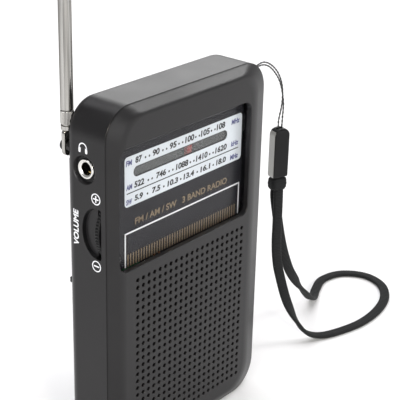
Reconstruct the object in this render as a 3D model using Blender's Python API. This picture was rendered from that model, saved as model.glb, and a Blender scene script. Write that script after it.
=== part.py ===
"""Pocket radio with a telescopic antenna, two thumbwheels and a wrist strap.

Places are given in case coordinates, in millimetres: x to the right seen from the front, depth
backwards from the face, and down from the case's top edge. place() turns them into Blender's
metres, with the origin under the middle of the radio on the surface that it stands on.
"""

import math

import bmesh
import bpy
from mathutils import Vector

MM = 0.001

# Case
HALF_WIDTH = 29.0
HEIGHT = 95.0
DEPTH = 15.0
CORNER_R = 8.0
BACK_EDGE_R = 3.2
SEAM = 1.65
SEAM_GAP = 0.1
WALL = 1.5
CORNER_STEPS = 6

# Flat face inside the slanted band, and the window cut through it
FACE_LEFT = -25.0
FACE_RIGHT = 24.0
FACE_INSET = 2.5
FACE_R = 7.0
FACE_THICK = 1.4
LIP_OUT = 1.7
LIP_IN = 2.5
LIP_DEPTH = 3.0
WINDOW = (-25.9, 22.1, 9.6, 40.5)
WINDOW_R = 2.5
LENS_DEPTH = (1.6, 2.5)
DIAL_DEPTH = (2.75, 3.25)
CHANNEL = (-18.6, 15.8, 16.15, 18.65)
POINTER_X = 2.1

# Thumbwheels, one in each side wall, turning about the depth axis
WHEEL_R = 10.0
WHEEL_OUT = 0.6
WHEEL_X = HALF_WIDTH + WHEEL_OUT - WHEEL_R
WHEEL_DOWN = 30.3
WHEEL_DEPTH = (3.55, 4.85)
WHEEL_RIBS = 40
DRUM_R = 7.4
SLOT_DEPTH = (3.2, 5.1)
SLOT_HALF = 6.4
SCOOP_REACH = 4.2
SCOOP_SINK = 1.0

# Dial cord, running round the tuning wheel's drum and two pegs
CORD_DEPTH = 5.1
CORD_R = 0.15
CORD_DOWN = 13.9
PEG_R = 1.2
PEG_X = 24.0

# Headphone jack in the left wall
JACK = (8.4, 15.3)
JACK_HOLE_R = 1.75
JACK_RING_R = 2.4
JACK_SINK_R = 3.45

# Circuit board
BOARD_DEPTH = (5.4, 6.6)
BOARD_GAP = 0.3

# Speaker
SPEAKER = (2.5, 55.4)
SPEAKER_R = 13.0

# Battery bay and its sliding cover
BAY = (-25.0, 25.0, 70.2, 92.8)
BAY_FRONT = 2.75
BATTERY_R = 5.1
BATTERY_LENGTH = 44.5
BATTERY_DEPTH = 8.15
BATTERY_DOWNS = (75.7, 87.3)
COVER_HALF = 26.0
COVER_TOP = 69.2
COVER_DEPTH = 13.6
COVER_GAP = 0.2

# Antenna, on a swivel screw through the top shelf of the back
SHELF_DEPTH = 13.4
SHELF_DOWN = 14.4
ANTENNA_X = -27.3
ANTENNA_DEPTH = 15.2
PIVOT_DOWN = 11.5
SECTION_R = (1.5, 1.1, 0.75, 0.4)
SECTION_BORE_R = (1.2, 0.85, 0.5)
COLLAR_R = 1.6
TIP_UP = 42.5
TIP_LENGTH = 2.6

# Band switch on the back
SWITCH_DOWN = 47.15
SWITCH_HALF = 0.75
SWITCH_X = -24.6
SWITCH_TRAVEL = 5.0

# Wrist strap
STRING_R = 0.25
EYELET_DEPTH = 8.0
EYELET_DOWNS = (9.0, 12.2)
EYELET_R = 0.75
RIBBON_R = 0.7
BEAD = (46.3, 8.1)
BEAD_TURN = math.radians(-20)

MID_DEPTH = (ANTENNA_DEPTH + COLLAR_R) / 2
BASE = (0.0, MID_DEPTH, HEIGHT)


# ---------------------------------------------------------------- materials

def finish(name, colour, roughness, metallic=0.0, alpha=1.0):
    """A plain Principled material."""
    made = bpy.data.materials.new(name)
    made.use_nodes = True
    shader = made.node_tree.nodes["Principled BSDF"]
    shader.inputs["Base Color"].default_value = (*colour, 1.0)
    shader.inputs["Roughness"].default_value = roughness
    shader.inputs["Metallic"].default_value = metallic
    shader.inputs["Alpha"].default_value = alpha
    return made


# ---------------------------------------------------------------- places and outlines

def place(x, depth, down):
    """Case coordinates in millimetres to the world's metres."""
    return Vector((x, depth - MID_DEPTH, HEIGHT - down)) * MM


def on_axis(axis, a, b, along):
    """The case coordinates of a point of an outline that lies across an axis."""
    if axis == "x":
        return (along, a, b)
    if axis == "depth":
        return (a, along, b)
    return (a, b, along)


def rounded(a_low, a_high, b_low, b_high, radius, steps=CORNER_STEPS):
    """A rectangle with round corners."""
    corners = (
        (a_high - radius, b_high - radius, 0),
        (a_low + radius, b_high - radius, 90),
        (a_low + radius, b_low + radius, 180),
        (a_high - radius, b_low + radius, 270),
    )
    outline = []
    for a, b, start in corners:
        for step in range(steps + 1):
            angle = math.radians(start + 90 * step / steps)
            outline.append((a + radius * math.cos(angle), b + radius * math.sin(angle)))
    return outline


def box(a_low, a_high, b_low, b_high):
    return [(a_high, b_high), (a_low, b_high), (a_low, b_low), (a_high, b_low)]


def disc(a, b, radius, count=24, rib=0.0):
    """A circle. With a rib height, every second pair of points is drawn in, which makes ribs."""
    outline = []
    for index in range(count):
        angle = 2 * math.pi * index / count
        reach = radius - rib * (index % 2)
        outline.append((a + reach * math.cos(angle), b + reach * math.sin(angle)))
    return outline


def blend_outlines(first, second, share):
    return [
        (a0 + (a1 - a0) * share, b0 + (b1 - b0) * share)
        for (a0, b0), (a1, b1) in zip(first, second)
    ]


def ring_at(axis, outline, along):
    return [on_axis(axis, a, b, along) for a, b in outline]


def slab(axis, outline, low, high):
    """An outline drawn out along an axis."""
    return [ring_at(axis, outline, low), ring_at(axis, outline, high)]


def turned(axis, centre, profile, count=24):
    """A profile of (radius, along) turned about an axis."""
    return [ring_at(axis, disc(*centre, radius, count), along) for radius, along in profile]


def smooth_route(points, spacing):
    """Points at an even spacing on one smooth curve through the route's own points."""
    route = [Vector(point) for point in points]
    ends = [2 * route[0] - route[1], *route, 2 * route[-1] - route[-2]]
    fine = []
    for before, start, end, after in zip(ends, ends[1:], ends[2:], ends[3:]):
        for step in range(40):
            t = step / 40
            fine.append(
                0.5
                * (
                    2 * start
                    + (end - before) * t
                    + (2 * before - 5 * start + 4 * end - after) * t**2
                    + (3 * start - before - 3 * end + after) * t**3
                )
            )
    fine.append(route[-1])
    reach = [0.0]
    for start, end in zip(fine, fine[1:]):
        reach.append(reach[-1] + (end - start).length)
    count = max(2, round(reach[-1] / spacing))
    even = []
    index = 0
    for step in range(count + 1):
        wanted = reach[-1] * step / count
        while index < len(reach) - 2 and reach[index + 1] < wanted:
            index += 1
        share = (wanted - reach[index]) / (reach[index + 1] - reach[index])
        even.append(fine[index].lerp(fine[index + 1], share))
    return even


# ---------------------------------------------------------------- solids

def solid(name, loops, ring=False, origin=BASE):
    """Joins loops of equal length with faces, and closes the two ends or, for a ring, joins them."""
    home = place(*origin)
    work = bmesh.new()
    rows = [[work.verts.new(place(*point) - home) for point in loop] for loop in loops]
    pairs = list(zip(rows, rows[1:]))
    if ring:
        pairs.append((rows[-1], rows[0]))
    else:
        work.faces.new(rows[0])
        work.faces.new(rows[-1])
    for row, following in pairs:
        for index in range(len(row)):
            after = (index + 1) % len(row)
            work.faces.new((row[index], row[after], following[after], following[index]))
    bmesh.ops.recalc_face_normals(work, faces=work.faces)
    mesh = bpy.data.meshes.new(name)
    work.to_mesh(mesh)
    work.free()
    made = bpy.data.objects.new(name, mesh)
    made.location = home
    bpy.context.scene.collection.objects.link(made)
    return made


def piece(name, loops, material, ring=False, origin=BASE):
    """A solid that becomes a node."""
    made = solid(name, loops, ring, origin)
    made.data.materials.append(material)
    made.data.shade_smooth()
    made.data.set_sharp_from_angle(angle=math.radians(30))
    return made


def shaped(target, operation, *shapes):
    """Adds a Boolean modifier for each of the shapes, which are (loops) or (loops, "ring")."""
    for number, shape in enumerate(shapes):
        loops, ring = shape if isinstance(shape, tuple) else (shape, False)
        label = f"{target.name}_{operation.lower()}_{len(target.modifiers)}_{number}"
        tool = solid(label, loops, bool(ring))
        tool.hide_render = True
        tool.display_type = "WIRE"
        change = target.modifiers.new(label, "BOOLEAN")
        change.operation = operation
        change.object = tool


def cut(target, *shapes):
    shaped(target, "DIFFERENCE", *shapes)


def join(target, *shapes):
    shaped(target, "UNION", *shapes)


def cord(name, points, radius, material, closed=False, sides=2):
    """A round cord along points, as a curve with filled ends."""
    curve = bpy.data.curves.new(name, "CURVE")
    curve.dimensions = "3D"
    curve.bevel_depth = radius * MM
    curve.bevel_resolution = sides
    curve.use_fill_caps = not closed
    spline = curve.splines.new("POLY")
    spline.points.add(len(points) - 1)
    for point, at in zip(spline.points, points):
        point.co = (*place(*at), 1.0)
    spline.use_cyclic_u = closed
    made = bpy.data.objects.new(name, curve)
    made.data.materials.append(material)
    bpy.context.scene.collection.objects.link(made)
    return made


# ---------------------------------------------------------------- case

def case_outline(inset):
    radius = CORNER_R - inset
    return rounded(-HALF_WIDTH + inset, HALF_WIDTH - inset, inset, HEIGHT - inset, radius)


def face_outline():
    return rounded(FACE_LEFT, FACE_RIGHT, FACE_INSET, HEIGHT - FACE_INSET, FACE_R)


def front_shell_loops():
    """The face, the slanted band round it, and the lip inside, from the face inwards."""
    loops = []
    for share, rise in ((-0.08, 0.0), (0.0, 0.03), (0.09, 0.0), (0.93, 0.0)):
        outline = blend_outlines(face_outline(), case_outline(0.0), share)
        loops.append(ring_at("depth", outline, max(0.0, share * (SEAM - 0.05)) + rise))
    for inset, depth in (
        (0.0, SEAM - 0.03),
        (0.1, SEAM + 0.03),
        (LIP_OUT, SEAM + 0.03),
        (LIP_OUT, LIP_DEPTH),
        (LIP_IN, LIP_DEPTH),
        (LIP_IN, FACE_THICK),
    ):
        loops.append(ring_at("depth", case_outline(inset), depth))
    return loops


FRONT_BOSSES = ((-20.0, 5.2), (24.2, 5.2), (-24.2, 63.5), (24.2, 63.5))
BOSS_R = 1.9
BOSS_END = 7.0
POST_R = 2.5
SCREW_R = 0.6
SCREW_HEAD_R = 1.4


def make_front_shell(material):
    shell = piece("front_shell", front_shell_loops(), material)
    cut(shell, slab("depth", rounded(*WINDOW, WINDOW_R), -1.0, 2.0))
    for x, down in FRONT_BOSSES:
        join(shell, slab("depth", disc(x, down, BOSS_R, 16), FACE_THICK - 0.3, BOSS_END))
        cut(shell, slab("depth", disc(x, down, SCREW_R + 0.2, 10), 2.4, BOSS_END + 1.0))
    return shell


def back_hull_loops(first_depth):
    """The rear half's outer form, from the seam to the rounded back edge."""
    loops = [
        ring_at("depth", case_outline(0.1), first_depth),
        ring_at("depth", case_outline(0.0), first_depth + 0.1),
    ]
    for step in range(6):
        angle = math.radians(90 * step / 5)
        inset = BACK_EDGE_R * (1 - math.cos(angle))
        depth = DEPTH - BACK_EDGE_R * (1 - math.sin(angle))
        loops.append(ring_at("depth", case_outline(inset), depth))
    return loops


def mirrored(side, outline_at):
    """Loops at distances in from a side wall, drawn for the left (-1) or the right (+1) wall."""
    return [ring_at("x", outline, side * (HALF_WIDTH - inward)) for outline, inward in outline_at]


def scoop_loops(side):
    """The thumb hollow behind a wheel slot: a half ellipse that narrows as it sinks."""
    rows = []
    for share, inward in ((1.12, -0.2), (0.85, 0.25), (0.55, 0.7), (0.25, SCOOP_SINK)):
        outline = [(SLOT_DEPTH[1] - 0.3, WHEEL_DOWN - SLOT_HALF * share)]
        for step in range(13):
            angle = math.radians(-90 + 180 * step / 12)
            outline.append(
                (
                    SLOT_DEPTH[1] + SCOOP_REACH * share * math.cos(angle),
                    WHEEL_DOWN + (SLOT_HALF - 0.1) * share * math.sin(angle),
                )
            )
        outline.append((SLOT_DEPTH[1] - 0.3, WHEEL_DOWN + SLOT_HALF * share))
        rows.append((outline, inward))
    return mirrored(side, rows)


def wheel_slot_loops(side):
    low, high = WHEEL_DOWN - SLOT_HALF, WHEEL_DOWN + SLOT_HALF
    outline = rounded(*SLOT_DEPTH, low, high, 0.6, 3)
    return mirrored(side, ((outline, -1.0), (outline, WALL + 0.5)))


BOARD_SCREWS = ((0.0, 37.5), (6.0, 11.4))
TOP_CAVITY_DEPTH = 11.9
INNER_BACK = DEPTH - WALL


def make_rear_shell(material):
    shell = piece("rear_shell", back_hull_loops(SEAM + SEAM_GAP), material)
    inner = HALF_WIDTH - WALL
    inner_r = CORNER_R - WALL
    bay_top = BAY[2] - 1.4
    groove_in = rounded(-26.3, 26.3, 2.7, HEIGHT - 2.7, 5.3)
    cut(
        shell,
        slab("depth", rounded(-inner, inner, WALL, 30.0, inner_r), 0.5, TOP_CAVITY_DEPTH),
        slab("depth", rounded(-inner, inner, SHELF_DOWN + 1.6, bay_top, 2.0), 0.5, INNER_BACK),
        slab("depth", rounded(-26.4, 26.4, 60.0, 92.4, 2.0), 0.5, 1.95),
        (
            [
                ring_at("depth", case_outline(WALL), 0.5),
                ring_at("depth", case_outline(WALL), LIP_DEPTH + 0.2),
                ring_at("depth", groove_in, LIP_DEPTH + 0.2),
                ring_at("depth", groove_in, 0.5),
            ],
            "ring",
        ),
    )
    for x, down in FRONT_BOSSES:
        wall_depth = TOP_CAVITY_DEPTH if down < SHELF_DOWN else INNER_BACK
        join(shell, slab("depth", disc(x, down, POST_R, 16), BOSS_END + 0.3, wall_depth + 0.4))
    for x, down in BOARD_SCREWS:
        wall_depth = TOP_CAVITY_DEPTH if down < SHELF_DOWN else INNER_BACK
        join(shell, slab("depth", disc(x, down, 1.8, 16), BOARD_DEPTH[1] + 0.15, wall_depth + 0.4))
        cut(shell, slab("depth", disc(x, down, SCREW_R + 0.2, 10), BOARD_DEPTH[1] - 0.5, 10.5))
    join(shell, slab("depth", box(-28.0, -24.6, 8.7, 14.3), 11.2, 12.4))
    cut(
        shell,
        slab("depth", box(BAY[0], BAY[1], BAY[2], BAY[3]), BAY_FRONT, DEPTH + 1.0),
        slab(
            "depth",
            box(-COVER_HALF - COVER_GAP, COVER_HALF + COVER_GAP, COVER_TOP - COVER_GAP, 97.0),
            COVER_DEPTH - COVER_GAP,
            DEPTH + 1.0,
        ),
        slab("depth", box(-31.0, 31.0, -2.0, SHELF_DOWN), SHELF_DEPTH, DEPTH + 1.0),
    )
    join(shell, slab("depth", disc(ANTENNA_X, PIVOT_DOWN, 1.3, 16), SHELF_DEPTH - 0.4, 14.55))
    cut(shell, slab("depth", disc(ANTENNA_X, PIVOT_DOWN, 0.85, 12), 10.5, 15.5))
    for x, down in FRONT_BOSSES:
        floor = SHELF_DEPTH - 1.0 if down < SHELF_DOWN else DEPTH - 1.8
        cut(
            shell,
            slab("depth", disc(x, down, SCREW_R + 0.2, 10), BOSS_END, DEPTH),
            slab("depth", disc(x, down, SCREW_HEAD_R + 0.2, 16), floor, DEPTH + 1.0),
        )
    for side in (-1, 1):
        cut(shell, wheel_slot_loops(side), scoop_loops(side))
    cut(
        shell,
        mirrored(-1, ((disc(*JACK, JACK_SINK_R, 32), -1.0), (disc(*JACK, JACK_SINK_R, 32), 0.9))),
        mirrored(-1, ((disc(*JACK, 2.5), 0.5), (disc(*JACK, 2.5), 2.0))),
        slab(
            "depth",
            box(
                SWITCH_X - 1.8,
                SWITCH_X + 1.8 + SWITCH_TRAVEL,
                SWITCH_DOWN - SWITCH_HALF - 0.35,
                SWITCH_DOWN + SWITCH_HALF + 0.35,
            ),
            INNER_BACK - 1.0,
            DEPTH + 1.0,
        ),
    )
    for down in EYELET_DOWNS:
        hole = disc(EYELET_DEPTH, down, EYELET_R, 12)
        cut(shell, mirrored(1, ((hole, -1.0), (hole, 2.5))))
    return shell


def make_battery_cover(material):
    cover = piece(
        "battery_cover", back_hull_loops(SEAM + SEAM_GAP), material, origin=(0.0, DEPTH, COVER_TOP)
    )
    block = box(-COVER_HALF, COVER_HALF, COVER_TOP, 97.0)
    shaped(cover, "INTERSECT", slab("depth", block, COVER_DEPTH, DEPTH + 1.0))
    for row in range(4):
        down = 73.0 + 1.6 * row
        cut(cover, slab("depth", rounded(-5.0, 5.0, down, down + 0.8, 0.3, 2), DEPTH - 0.5, DEPTH + 1.0))
    return cover


# ---------------------------------------------------------------- dial and tuning

def make_dial(clear, white, grey, red, thread):
    lens = rounded(WINDOW[0] - 0.3, WINDOW[1] + 0.3, WINDOW[2] - 0.3, WINDOW[3] + 0.4, WINDOW_R)
    piece("window_lens", slab("depth", lens, *LENS_DEPTH), clear)
    plate = piece("dial_plate", slab("depth", lens, *DIAL_DEPTH), white)
    half = (CHANNEL[3] - CHANNEL[2]) / 2
    cut(plate, slab("depth", rounded(*CHANNEL, half - 0.01), 2.0, 4.0))
    rail = piece(
        "pointer_rail", slab("depth", rounded(-25.6, 25.6, 14.4, 19.6, 1.0, 3), 4.5, 4.8), grey
    )
    for x in (-PEG_X, PEG_X):
        peg = turned("depth", (x, CORD_DOWN + PEG_R + CORD_R), ((PEG_R, 4.7), (PEG_R, 5.3)), 16)
        join(rail, peg)
    flag = box(POINTER_X - 0.8, POINTER_X + 0.8, 13.0, 20.0)
    pointer = piece(
        "dial_pointer", slab("depth", flag, 3.5, 4.2), red, origin=(POINTER_X, CORD_DEPTH, CORD_DOWN)
    )
    join(
        pointer,
        slab("depth", box(POINTER_X - 0.8, POINTER_X + 0.8, 13.0, 13.5), 3.9, 5.3),
    )
    cord("dial_cord", dial_cord_points(), CORD_R, thread, closed=True, sides=0)


def arc(centre, radius, start, end, steps):
    """Points on a circle from one angle to another, in degrees, measured from +x towards down."""
    points = []
    for step in range(steps + 1):
        angle = math.radians(start + (end - start) * step / steps)
        x = centre[0] + radius * math.cos(angle)
        down = centre[1] + radius * math.sin(angle)
        points.append((x, CORD_DEPTH, down))
    return points


def dial_cord_points():
    """Over both pegs along the top, then down round the drum and back to the left peg."""
    peg = PEG_R + 2 * CORD_R
    drum = DRUM_R + 2 * CORD_R
    peg_down = CORD_DOWN + PEG_R + CORD_R
    left, right, wheel = (-PEG_X, peg_down), (PEG_X, peg_down), (WHEEL_X, WHEEL_DOWN)
    lean_right = math.degrees(
        math.atan2(wheel[1] - right[1], wheel[0] - right[0])
        - math.asin((drum - peg) / math.dist(wheel, right))
    ) - 90
    lean_left = math.degrees(
        math.atan2(wheel[1] - left[1], wheel[0] - left[0])
        + math.asin((drum - peg) / math.dist(wheel, left))
    ) + 90
    return (
        arc(right, peg, -90, lean_right, 6)
        + arc(wheel, drum, lean_right, lean_left, 24)
        + arc(left, peg, lean_left, 270, 8)
    )


def wheel_loops(x, hub):
    """A ribbed thumbwheel with a shaft behind it, and with a cord drum where hub is larger."""
    low, high = WHEEL_DEPTH
    count = 2 * WHEEL_RIBS
    profile = (
        (WHEEL_R - 0.5, low, 0.0),
        (WHEEL_R, low + 0.2, 0.25),
        (WHEEL_R, high - 0.2, 0.25),
        (WHEEL_R - 0.5, high, 0.0),
        (hub, high, 0.0),
        (hub, 5.25, 0.0),
        (1.5, 5.25, 0.0),
        (1.5, BOARD_DEPTH[1] + 0.1, 0.0),
    )
    return [
        ring_at("depth", disc(x, WHEEL_DOWN, radius, count, rib), along)
        for radius, along, rib in profile
    ]


def make_wheels(black, grey):
    for name, side, hub in (("volume_wheel", -1, 3.0), ("tuning_wheel", 1, DRUM_R)):
        x = side * WHEEL_X
        middle = sum(WHEEL_DEPTH) / 2
        piece(name, wheel_loops(x, hub), black, origin=(x, middle, WHEEL_DOWN))
    for name, side in (("volume_control", -1), ("tuning_control", 1)):
        profile = ((4.5, BOARD_DEPTH[1] + BOARD_GAP), (4.5, 9.2), (4.0, 9.5))
        piece(name, turned("depth", (side * WHEEL_X, WHEEL_DOWN), profile), grey)


# ---------------------------------------------------------------- electronics

def make_board(green):
    outline = [
        (26.0, 41.5),
        (-13.5, 41.5),
        (-13.5, 52.0),
        (-26.0, 52.0),
        (-26.0, 18.7),
        (-14.2, 18.7),
        (-14.2, 9.4),
        (26.0, 9.4),
    ]
    board = piece("circuit_board", slab("depth", outline, *BOARD_DEPTH), green)
    for x in (-WHEEL_X, WHEEL_X):
        cut(board, slab("depth", disc(x, WHEEL_DOWN, 2.0, 16), 5.0, 7.0))
    for x, down in BOARD_SCREWS:
        cut(board, slab("depth", disc(x, down, 0.8, 12), 5.0, 7.0))


def screw(name, x, down, head_from, head_to, tip, head_r, steel):
    """A pan-head screw with a cross recess, its head between two depths and its shank to tip."""
    toward = 1 if head_to > tip else -1
    profile = (
        (head_r * 0.8, head_to),
        (head_r, head_to - toward * 0.2),
        (head_r, head_from),
        (SCREW_R, head_from),
        (SCREW_R, tip + toward * 0.4),
        (SCREW_R * 0.4, tip),
    )
    made = piece(name, turned("depth", (x, down), profile, 16), steel)
    for a, b in ((0.7, 0.18), (0.18, 0.7)):
        slot = box(x - a, x + a, down - b, down + b)
        cut(made, slab("depth", slot, head_to - toward * 0.35, head_to + toward * 1.0))


def make_electronics(black, grey, steel, copper):
    rear = BOARD_DEPTH[1] + BOARD_GAP
    front = BOARD_DEPTH[0] - 0.2
    piece("radio_chip", slab("depth", box(-4.0, 4.0, 20.2, 26.0), 4.2, front), black)
    piece("audio_chip", slab("depth", box(1.0, 6.0, 20.0, 24.0), rear, rear + 1.4), black)
    crystal = rounded(8.5, 14.0, 18.0, 20.6, 1.2, 3)
    piece("crystal", slab("depth", crystal, rear, rear + 3.0), steel)
    for number, down in enumerate((23.0, 31.0)):
        profile = ((2.4, rear), (2.5, rear + 0.3), (2.5, rear + 4.8), (2.2, rear + 5.0))
        piece(f"capacitor_{number + 1}", turned("depth", (-8.0, down), profile, 20), black)
    rod = ((1.9, -16.0), (2.2, -15.7), (2.2, 20.2), (1.9, 20.5))
    piece("ferrite_rod", turned("x", (8.5, 5.2), rod), black)
    coil = ((2.4, -8.0), (2.8, -8.0), (2.8, 6.0), (2.4, 6.0))
    piece("aerial_coil", turned("x", (8.5, 5.2), coil), copper, ring=True)
    for number, (x, down) in enumerate(BOARD_SCREWS):
        screw(f"board_screw_{number + 1}", x, down, front, front - 0.7, 9.5, 1.3, steel)
    wires = (
        ("speaker_wire_1", ((-1.0, 7.3, 40.0), (-2.0, 8.4, 41.5), (-4.6, 8.6, 45.0), (-6.4, 6.2, 48.2))),
        ("speaker_wire_2", ((1.0, 7.3, 40.0), (0.2, 8.6, 41.5), (-2.4, 9.0, 44.4), (-4.4, 6.4, 46.8))),
    )
    for name, points in wires:
        cord(name, smooth_route(points, 1.0), 0.3, copper, sides=1)


def make_jack(black, steel):
    body = rounded(5.9, 10.9, 12.3, 18.3, 0.5, 2)
    jack = piece("headphone_jack", slab("x", body, -27.2, -14.5), black)
    cut(jack, slab("x", disc(*JACK, JACK_HOLE_R), -28.0, -16.5))
    low, high = -HALF_WIDTH + 0.46, -27.4
    profile = (
        (JACK_HOLE_R, high),
        (JACK_HOLE_R, low + 0.2),
        (JACK_HOLE_R + 0.2, low),
        (JACK_RING_R - 0.15, low),
        (JACK_RING_R, low + 0.15),
        (JACK_RING_R, high),
    )
    piece("jack_ring", turned("x", JACK, profile, 32), steel, ring=True)


def make_speaker(steel, paper, cloth):
    frame = (
        (12.3, 2.0),
        (SPEAKER_R, 2.0),
        (SPEAKER_R, 2.7),
        (11.9, 2.8),
        (7.0, 5.7),
        (5.2, 5.7),
        (5.2, 5.3),
        (6.8, 5.3),
        (11.5, 2.5),
    )
    piece("speaker_frame", turned("depth", SPEAKER, frame, 32), steel, ring=True)
    cone = ((0.3, 3.1), (2.4, 3.5), (3.4, 4.2), (10.9, 2.2), (10.9, 2.4), (3.5, 4.6), (0.3, 4.3))
    piece("speaker_cone", turned("depth", SPEAKER, cone, 32), paper)
    magnet = ((5.7, 5.9), (6.0, 6.2), (6.0, 8.6), (5.7, 8.9))
    piece("speaker_magnet", turned("depth", SPEAKER, magnet, 32), steel)
    piece("grille_cloth", slab("depth", box(-21.6, 21.6, 42.4, 89.4), 1.5, 1.7), cloth)


def make_band_switch(black, steel):
    low, high = SWITCH_DOWN - 2.8, SWITCH_DOWN + 2.8
    body = box(-27.0, -17.2, low, high)
    piece("band_switch", slab("depth", body, BOARD_DEPTH[1] + BOARD_GAP, 12.0), steel)
    ends = (SWITCH_X - 1.5, SWITCH_X + 1.5, SWITCH_DOWN - SWITCH_HALF, SWITCH_DOWN + SWITCH_HALF)
    outline = rounded(*ends, 0.2, 2)
    tip = rounded(ends[0] + 0.15, ends[1] - 0.15, ends[2] + 0.12, ends[3] - 0.12, 0.2, 2)
    loops = [*slab("depth", outline, 12.3, 16.1), ring_at("depth", tip, 16.3)]
    piece("band_switch_knob", loops, black, origin=(SWITCH_X, DEPTH, SWITCH_DOWN))


# ---------------------------------------------------------------- batteries

def make_batteries(jacket, steel):
    nub = 0.8
    for number, down in enumerate(BATTERY_DOWNS):
        side = 1 if number == 0 else -1
        tail = -20.6 * side
        shoulder = tail + side * (BATTERY_LENGTH - nub)
        profile = (
            (BATTERY_R - 0.6, tail),
            (BATTERY_R, tail + side * 0.4),
            (BATTERY_R, shoulder - side * 0.4),
            (BATTERY_R - 0.6, shoulder),
            (1.9, shoulder),
            (1.9, shoulder + side * nub),
        )
        piece(f"battery_{number + 1}", turned("x", (BATTERY_DEPTH, down), profile, 24), jacket)
        reach = 3.3 - 0.6
        points = []
        turns = 3
        for step in range(turns * 10 + 1):
            angle = 2 * math.pi * step / 10
            radius = 3.4 - 1.2 * step / (turns * 10)
            x = tail - side * (3.3 - 0.3 + 0.2) + side * reach * step / (turns * 10)
            points.append(
                (x, BATTERY_DEPTH + radius * math.cos(angle), down + radius * math.sin(angle))
            )
        cord(f"battery_spring_{number + 1}", points, 0.25, steel, sides=0)
    for name, x in (("contact_left", -24.6), ("contact_right", 24.6)):
        plate = rounded(4.0, 12.3, 71.6, 91.4, 0.6, 2)
        piece(name, slab("x", plate, x - 0.15, x + 0.15), steel)


# ---------------------------------------------------------------- antenna

def make_antenna(chrome, black, steel):
    pivot = (ANTENNA_X, ANTENNA_DEPTH, PIVOT_DOWN)
    low, high = ANTENNA_DEPTH - 0.5, ANTENNA_DEPTH + 0.5
    blade = rounded(ANTENNA_X - 1.5, ANTENNA_X + 1.5, 7.2, 13.9, 1.45, 4)
    base = piece("antenna_base", slab("depth", blade, low, high), chrome, origin=pivot)
    cut(base, slab("depth", disc(ANTENNA_X, PIVOT_DOWN, 0.85, 12), low - 1.0, high + 1.0))
    centre = (ANTENNA_X, ANTENNA_DEPTH)
    neck = ((1.3, 7.7), (1.5, 7.5), (1.5, 6.6), (1.2, 6.5), (1.2, 6.1))
    join(base, turned("down", centre, neck, 24))
    collar = []
    for radius, along in ((COLLAR_R - 0.15, 6.3), (COLLAR_R, 6.1), (COLLAR_R, 3.1), (1.45, 2.9)):
        rib = 0.12 if radius == COLLAR_R else 0.0
        collar.append(ring_at("down", disc(*centre, radius, 40, rib), along))
    join(base, collar)
    tops = (0.0, 0.15, 0.3)
    bottoms = (2.7, 1.6, 1.2)
    up = TIP_UP - TIP_LENGTH
    for number, (outer, bore) in enumerate(zip(SECTION_R, SECTION_BORE_R)):
        top = -(up - 0.5 + tops[number])
        bottom = bottoms[number]
        profile = (
            (bore, bottom),
            (bore, top),
            (outer - 0.08, top),
            (outer, top + 0.12),
            (outer, bottom),
        )
        name = f"antenna_section_{number + 1}"
        sides = 24 if number == 0 else 16
        piece(name, turned("down", centre, profile, sides), chrome, ring=True, origin=pivot)
    rod = SECTION_R[3]
    cap = SECTION_R[0]
    tip = (
        (rod, 1.0),
        (rod, -up),
        (cap - 0.2, -up),
        (cap, -(up + 0.25)),
        (cap, -(TIP_UP - 0.5)),
        (cap - 0.4, -(TIP_UP - 0.1)),
        (0.4, -TIP_UP),
    )
    piece("antenna_tip", turned("down", centre, tip, 16), chrome, origin=pivot)
    screw("antenna_screw", ANTENNA_X, PIVOT_DOWN, high + 0.1, high + 0.9, 11.6, 1.45, black)
    for number, (x, down) in enumerate(FRONT_BOSSES):
        floor = SHELF_DEPTH - 1.0 if down < SHELF_DOWN else DEPTH - 1.8
        screw(f"case_screw_{number + 1}", x, down, floor + 0.1, floor + 0.8, 3.2, SCREW_HEAD_R, steel)


# ---------------------------------------------------------------- wrist strap

def bead_ring(half_wide, half_deep, down, radius):
    """A rounded rectangle across the strap, turned with the bead."""
    loop = []
    for a, b in rounded(-half_wide, half_wide, -half_deep, half_deep, radius, 3):
        x = BEAD[0] + a * math.cos(BEAD_TURN) - b * math.sin(BEAD_TURN)
        depth = BEAD[1] + a * math.sin(BEAD_TURN) + b * math.cos(BEAD_TURN)
        loop.append((x, depth, down))
    return loop


def bead_point(wide, deep, down):
    x = BEAD[0] + wide * math.cos(BEAD_TURN) - deep * math.sin(BEAD_TURN)
    depth = BEAD[1] + wide * math.sin(BEAD_TURN) + deep * math.cos(BEAD_TURN)
    return (x, depth, down)


def string_route():
    """Out of the upper eyelet hole, over to the bead, round inside it and back to the lower hole."""
    return [
        (26.3, EYELET_DEPTH, 10.0),
        (26.8, EYELET_DEPTH, EYELET_DOWNS[0] + 0.1),
        (28.0, EYELET_DEPTH, EYELET_DOWNS[0]),
        (29.5, EYELET_DEPTH, EYELET_DOWNS[0] - 0.1),
        (30.9, 7.8, 7.2),
        (32.6, 7.7, 5.2),
        (36.3, 7.6, 4.3),
        (39.8, 7.5, 5.7),
        (43.2, 7.5, 8.7),
        (45.6, 7.6, 13.0),
        (46.2, 7.8, 18.0),
        bead_point(-0.6, 0.0, 23.0),
        bead_point(-0.6, 0.0, 26.0),
        bead_point(-1.3, 0.0, 28.6),
        bead_point(-0.85, 0.0, 30.2),
        bead_point(0.0, 0.0, 30.7),
        bead_point(0.85, 0.0, 30.2),
        bead_point(1.3, 0.0, 28.6),
        bead_point(0.6, 0.0, 26.0),
        bead_point(0.6, 0.0, 23.0),
        (47.5, 8.3, 18.0),
        (46.1, 8.7, 12.4),
        (43.0, 8.8, 8.4),
        (39.6, 8.8, 6.1),
        (36.2, 8.8, 5.6),
        (33.4, 8.7, 7.0),
        (31.2, 8.3, 10.2),
        (29.6, EYELET_DEPTH, EYELET_DOWNS[1] - 0.1),
        (28.0, EYELET_DEPTH, EYELET_DOWNS[1]),
        (26.8, EYELET_DEPTH, EYELET_DOWNS[1] - 0.1),
        (26.3, EYELET_DEPTH, 11.3),
    ]


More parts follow.
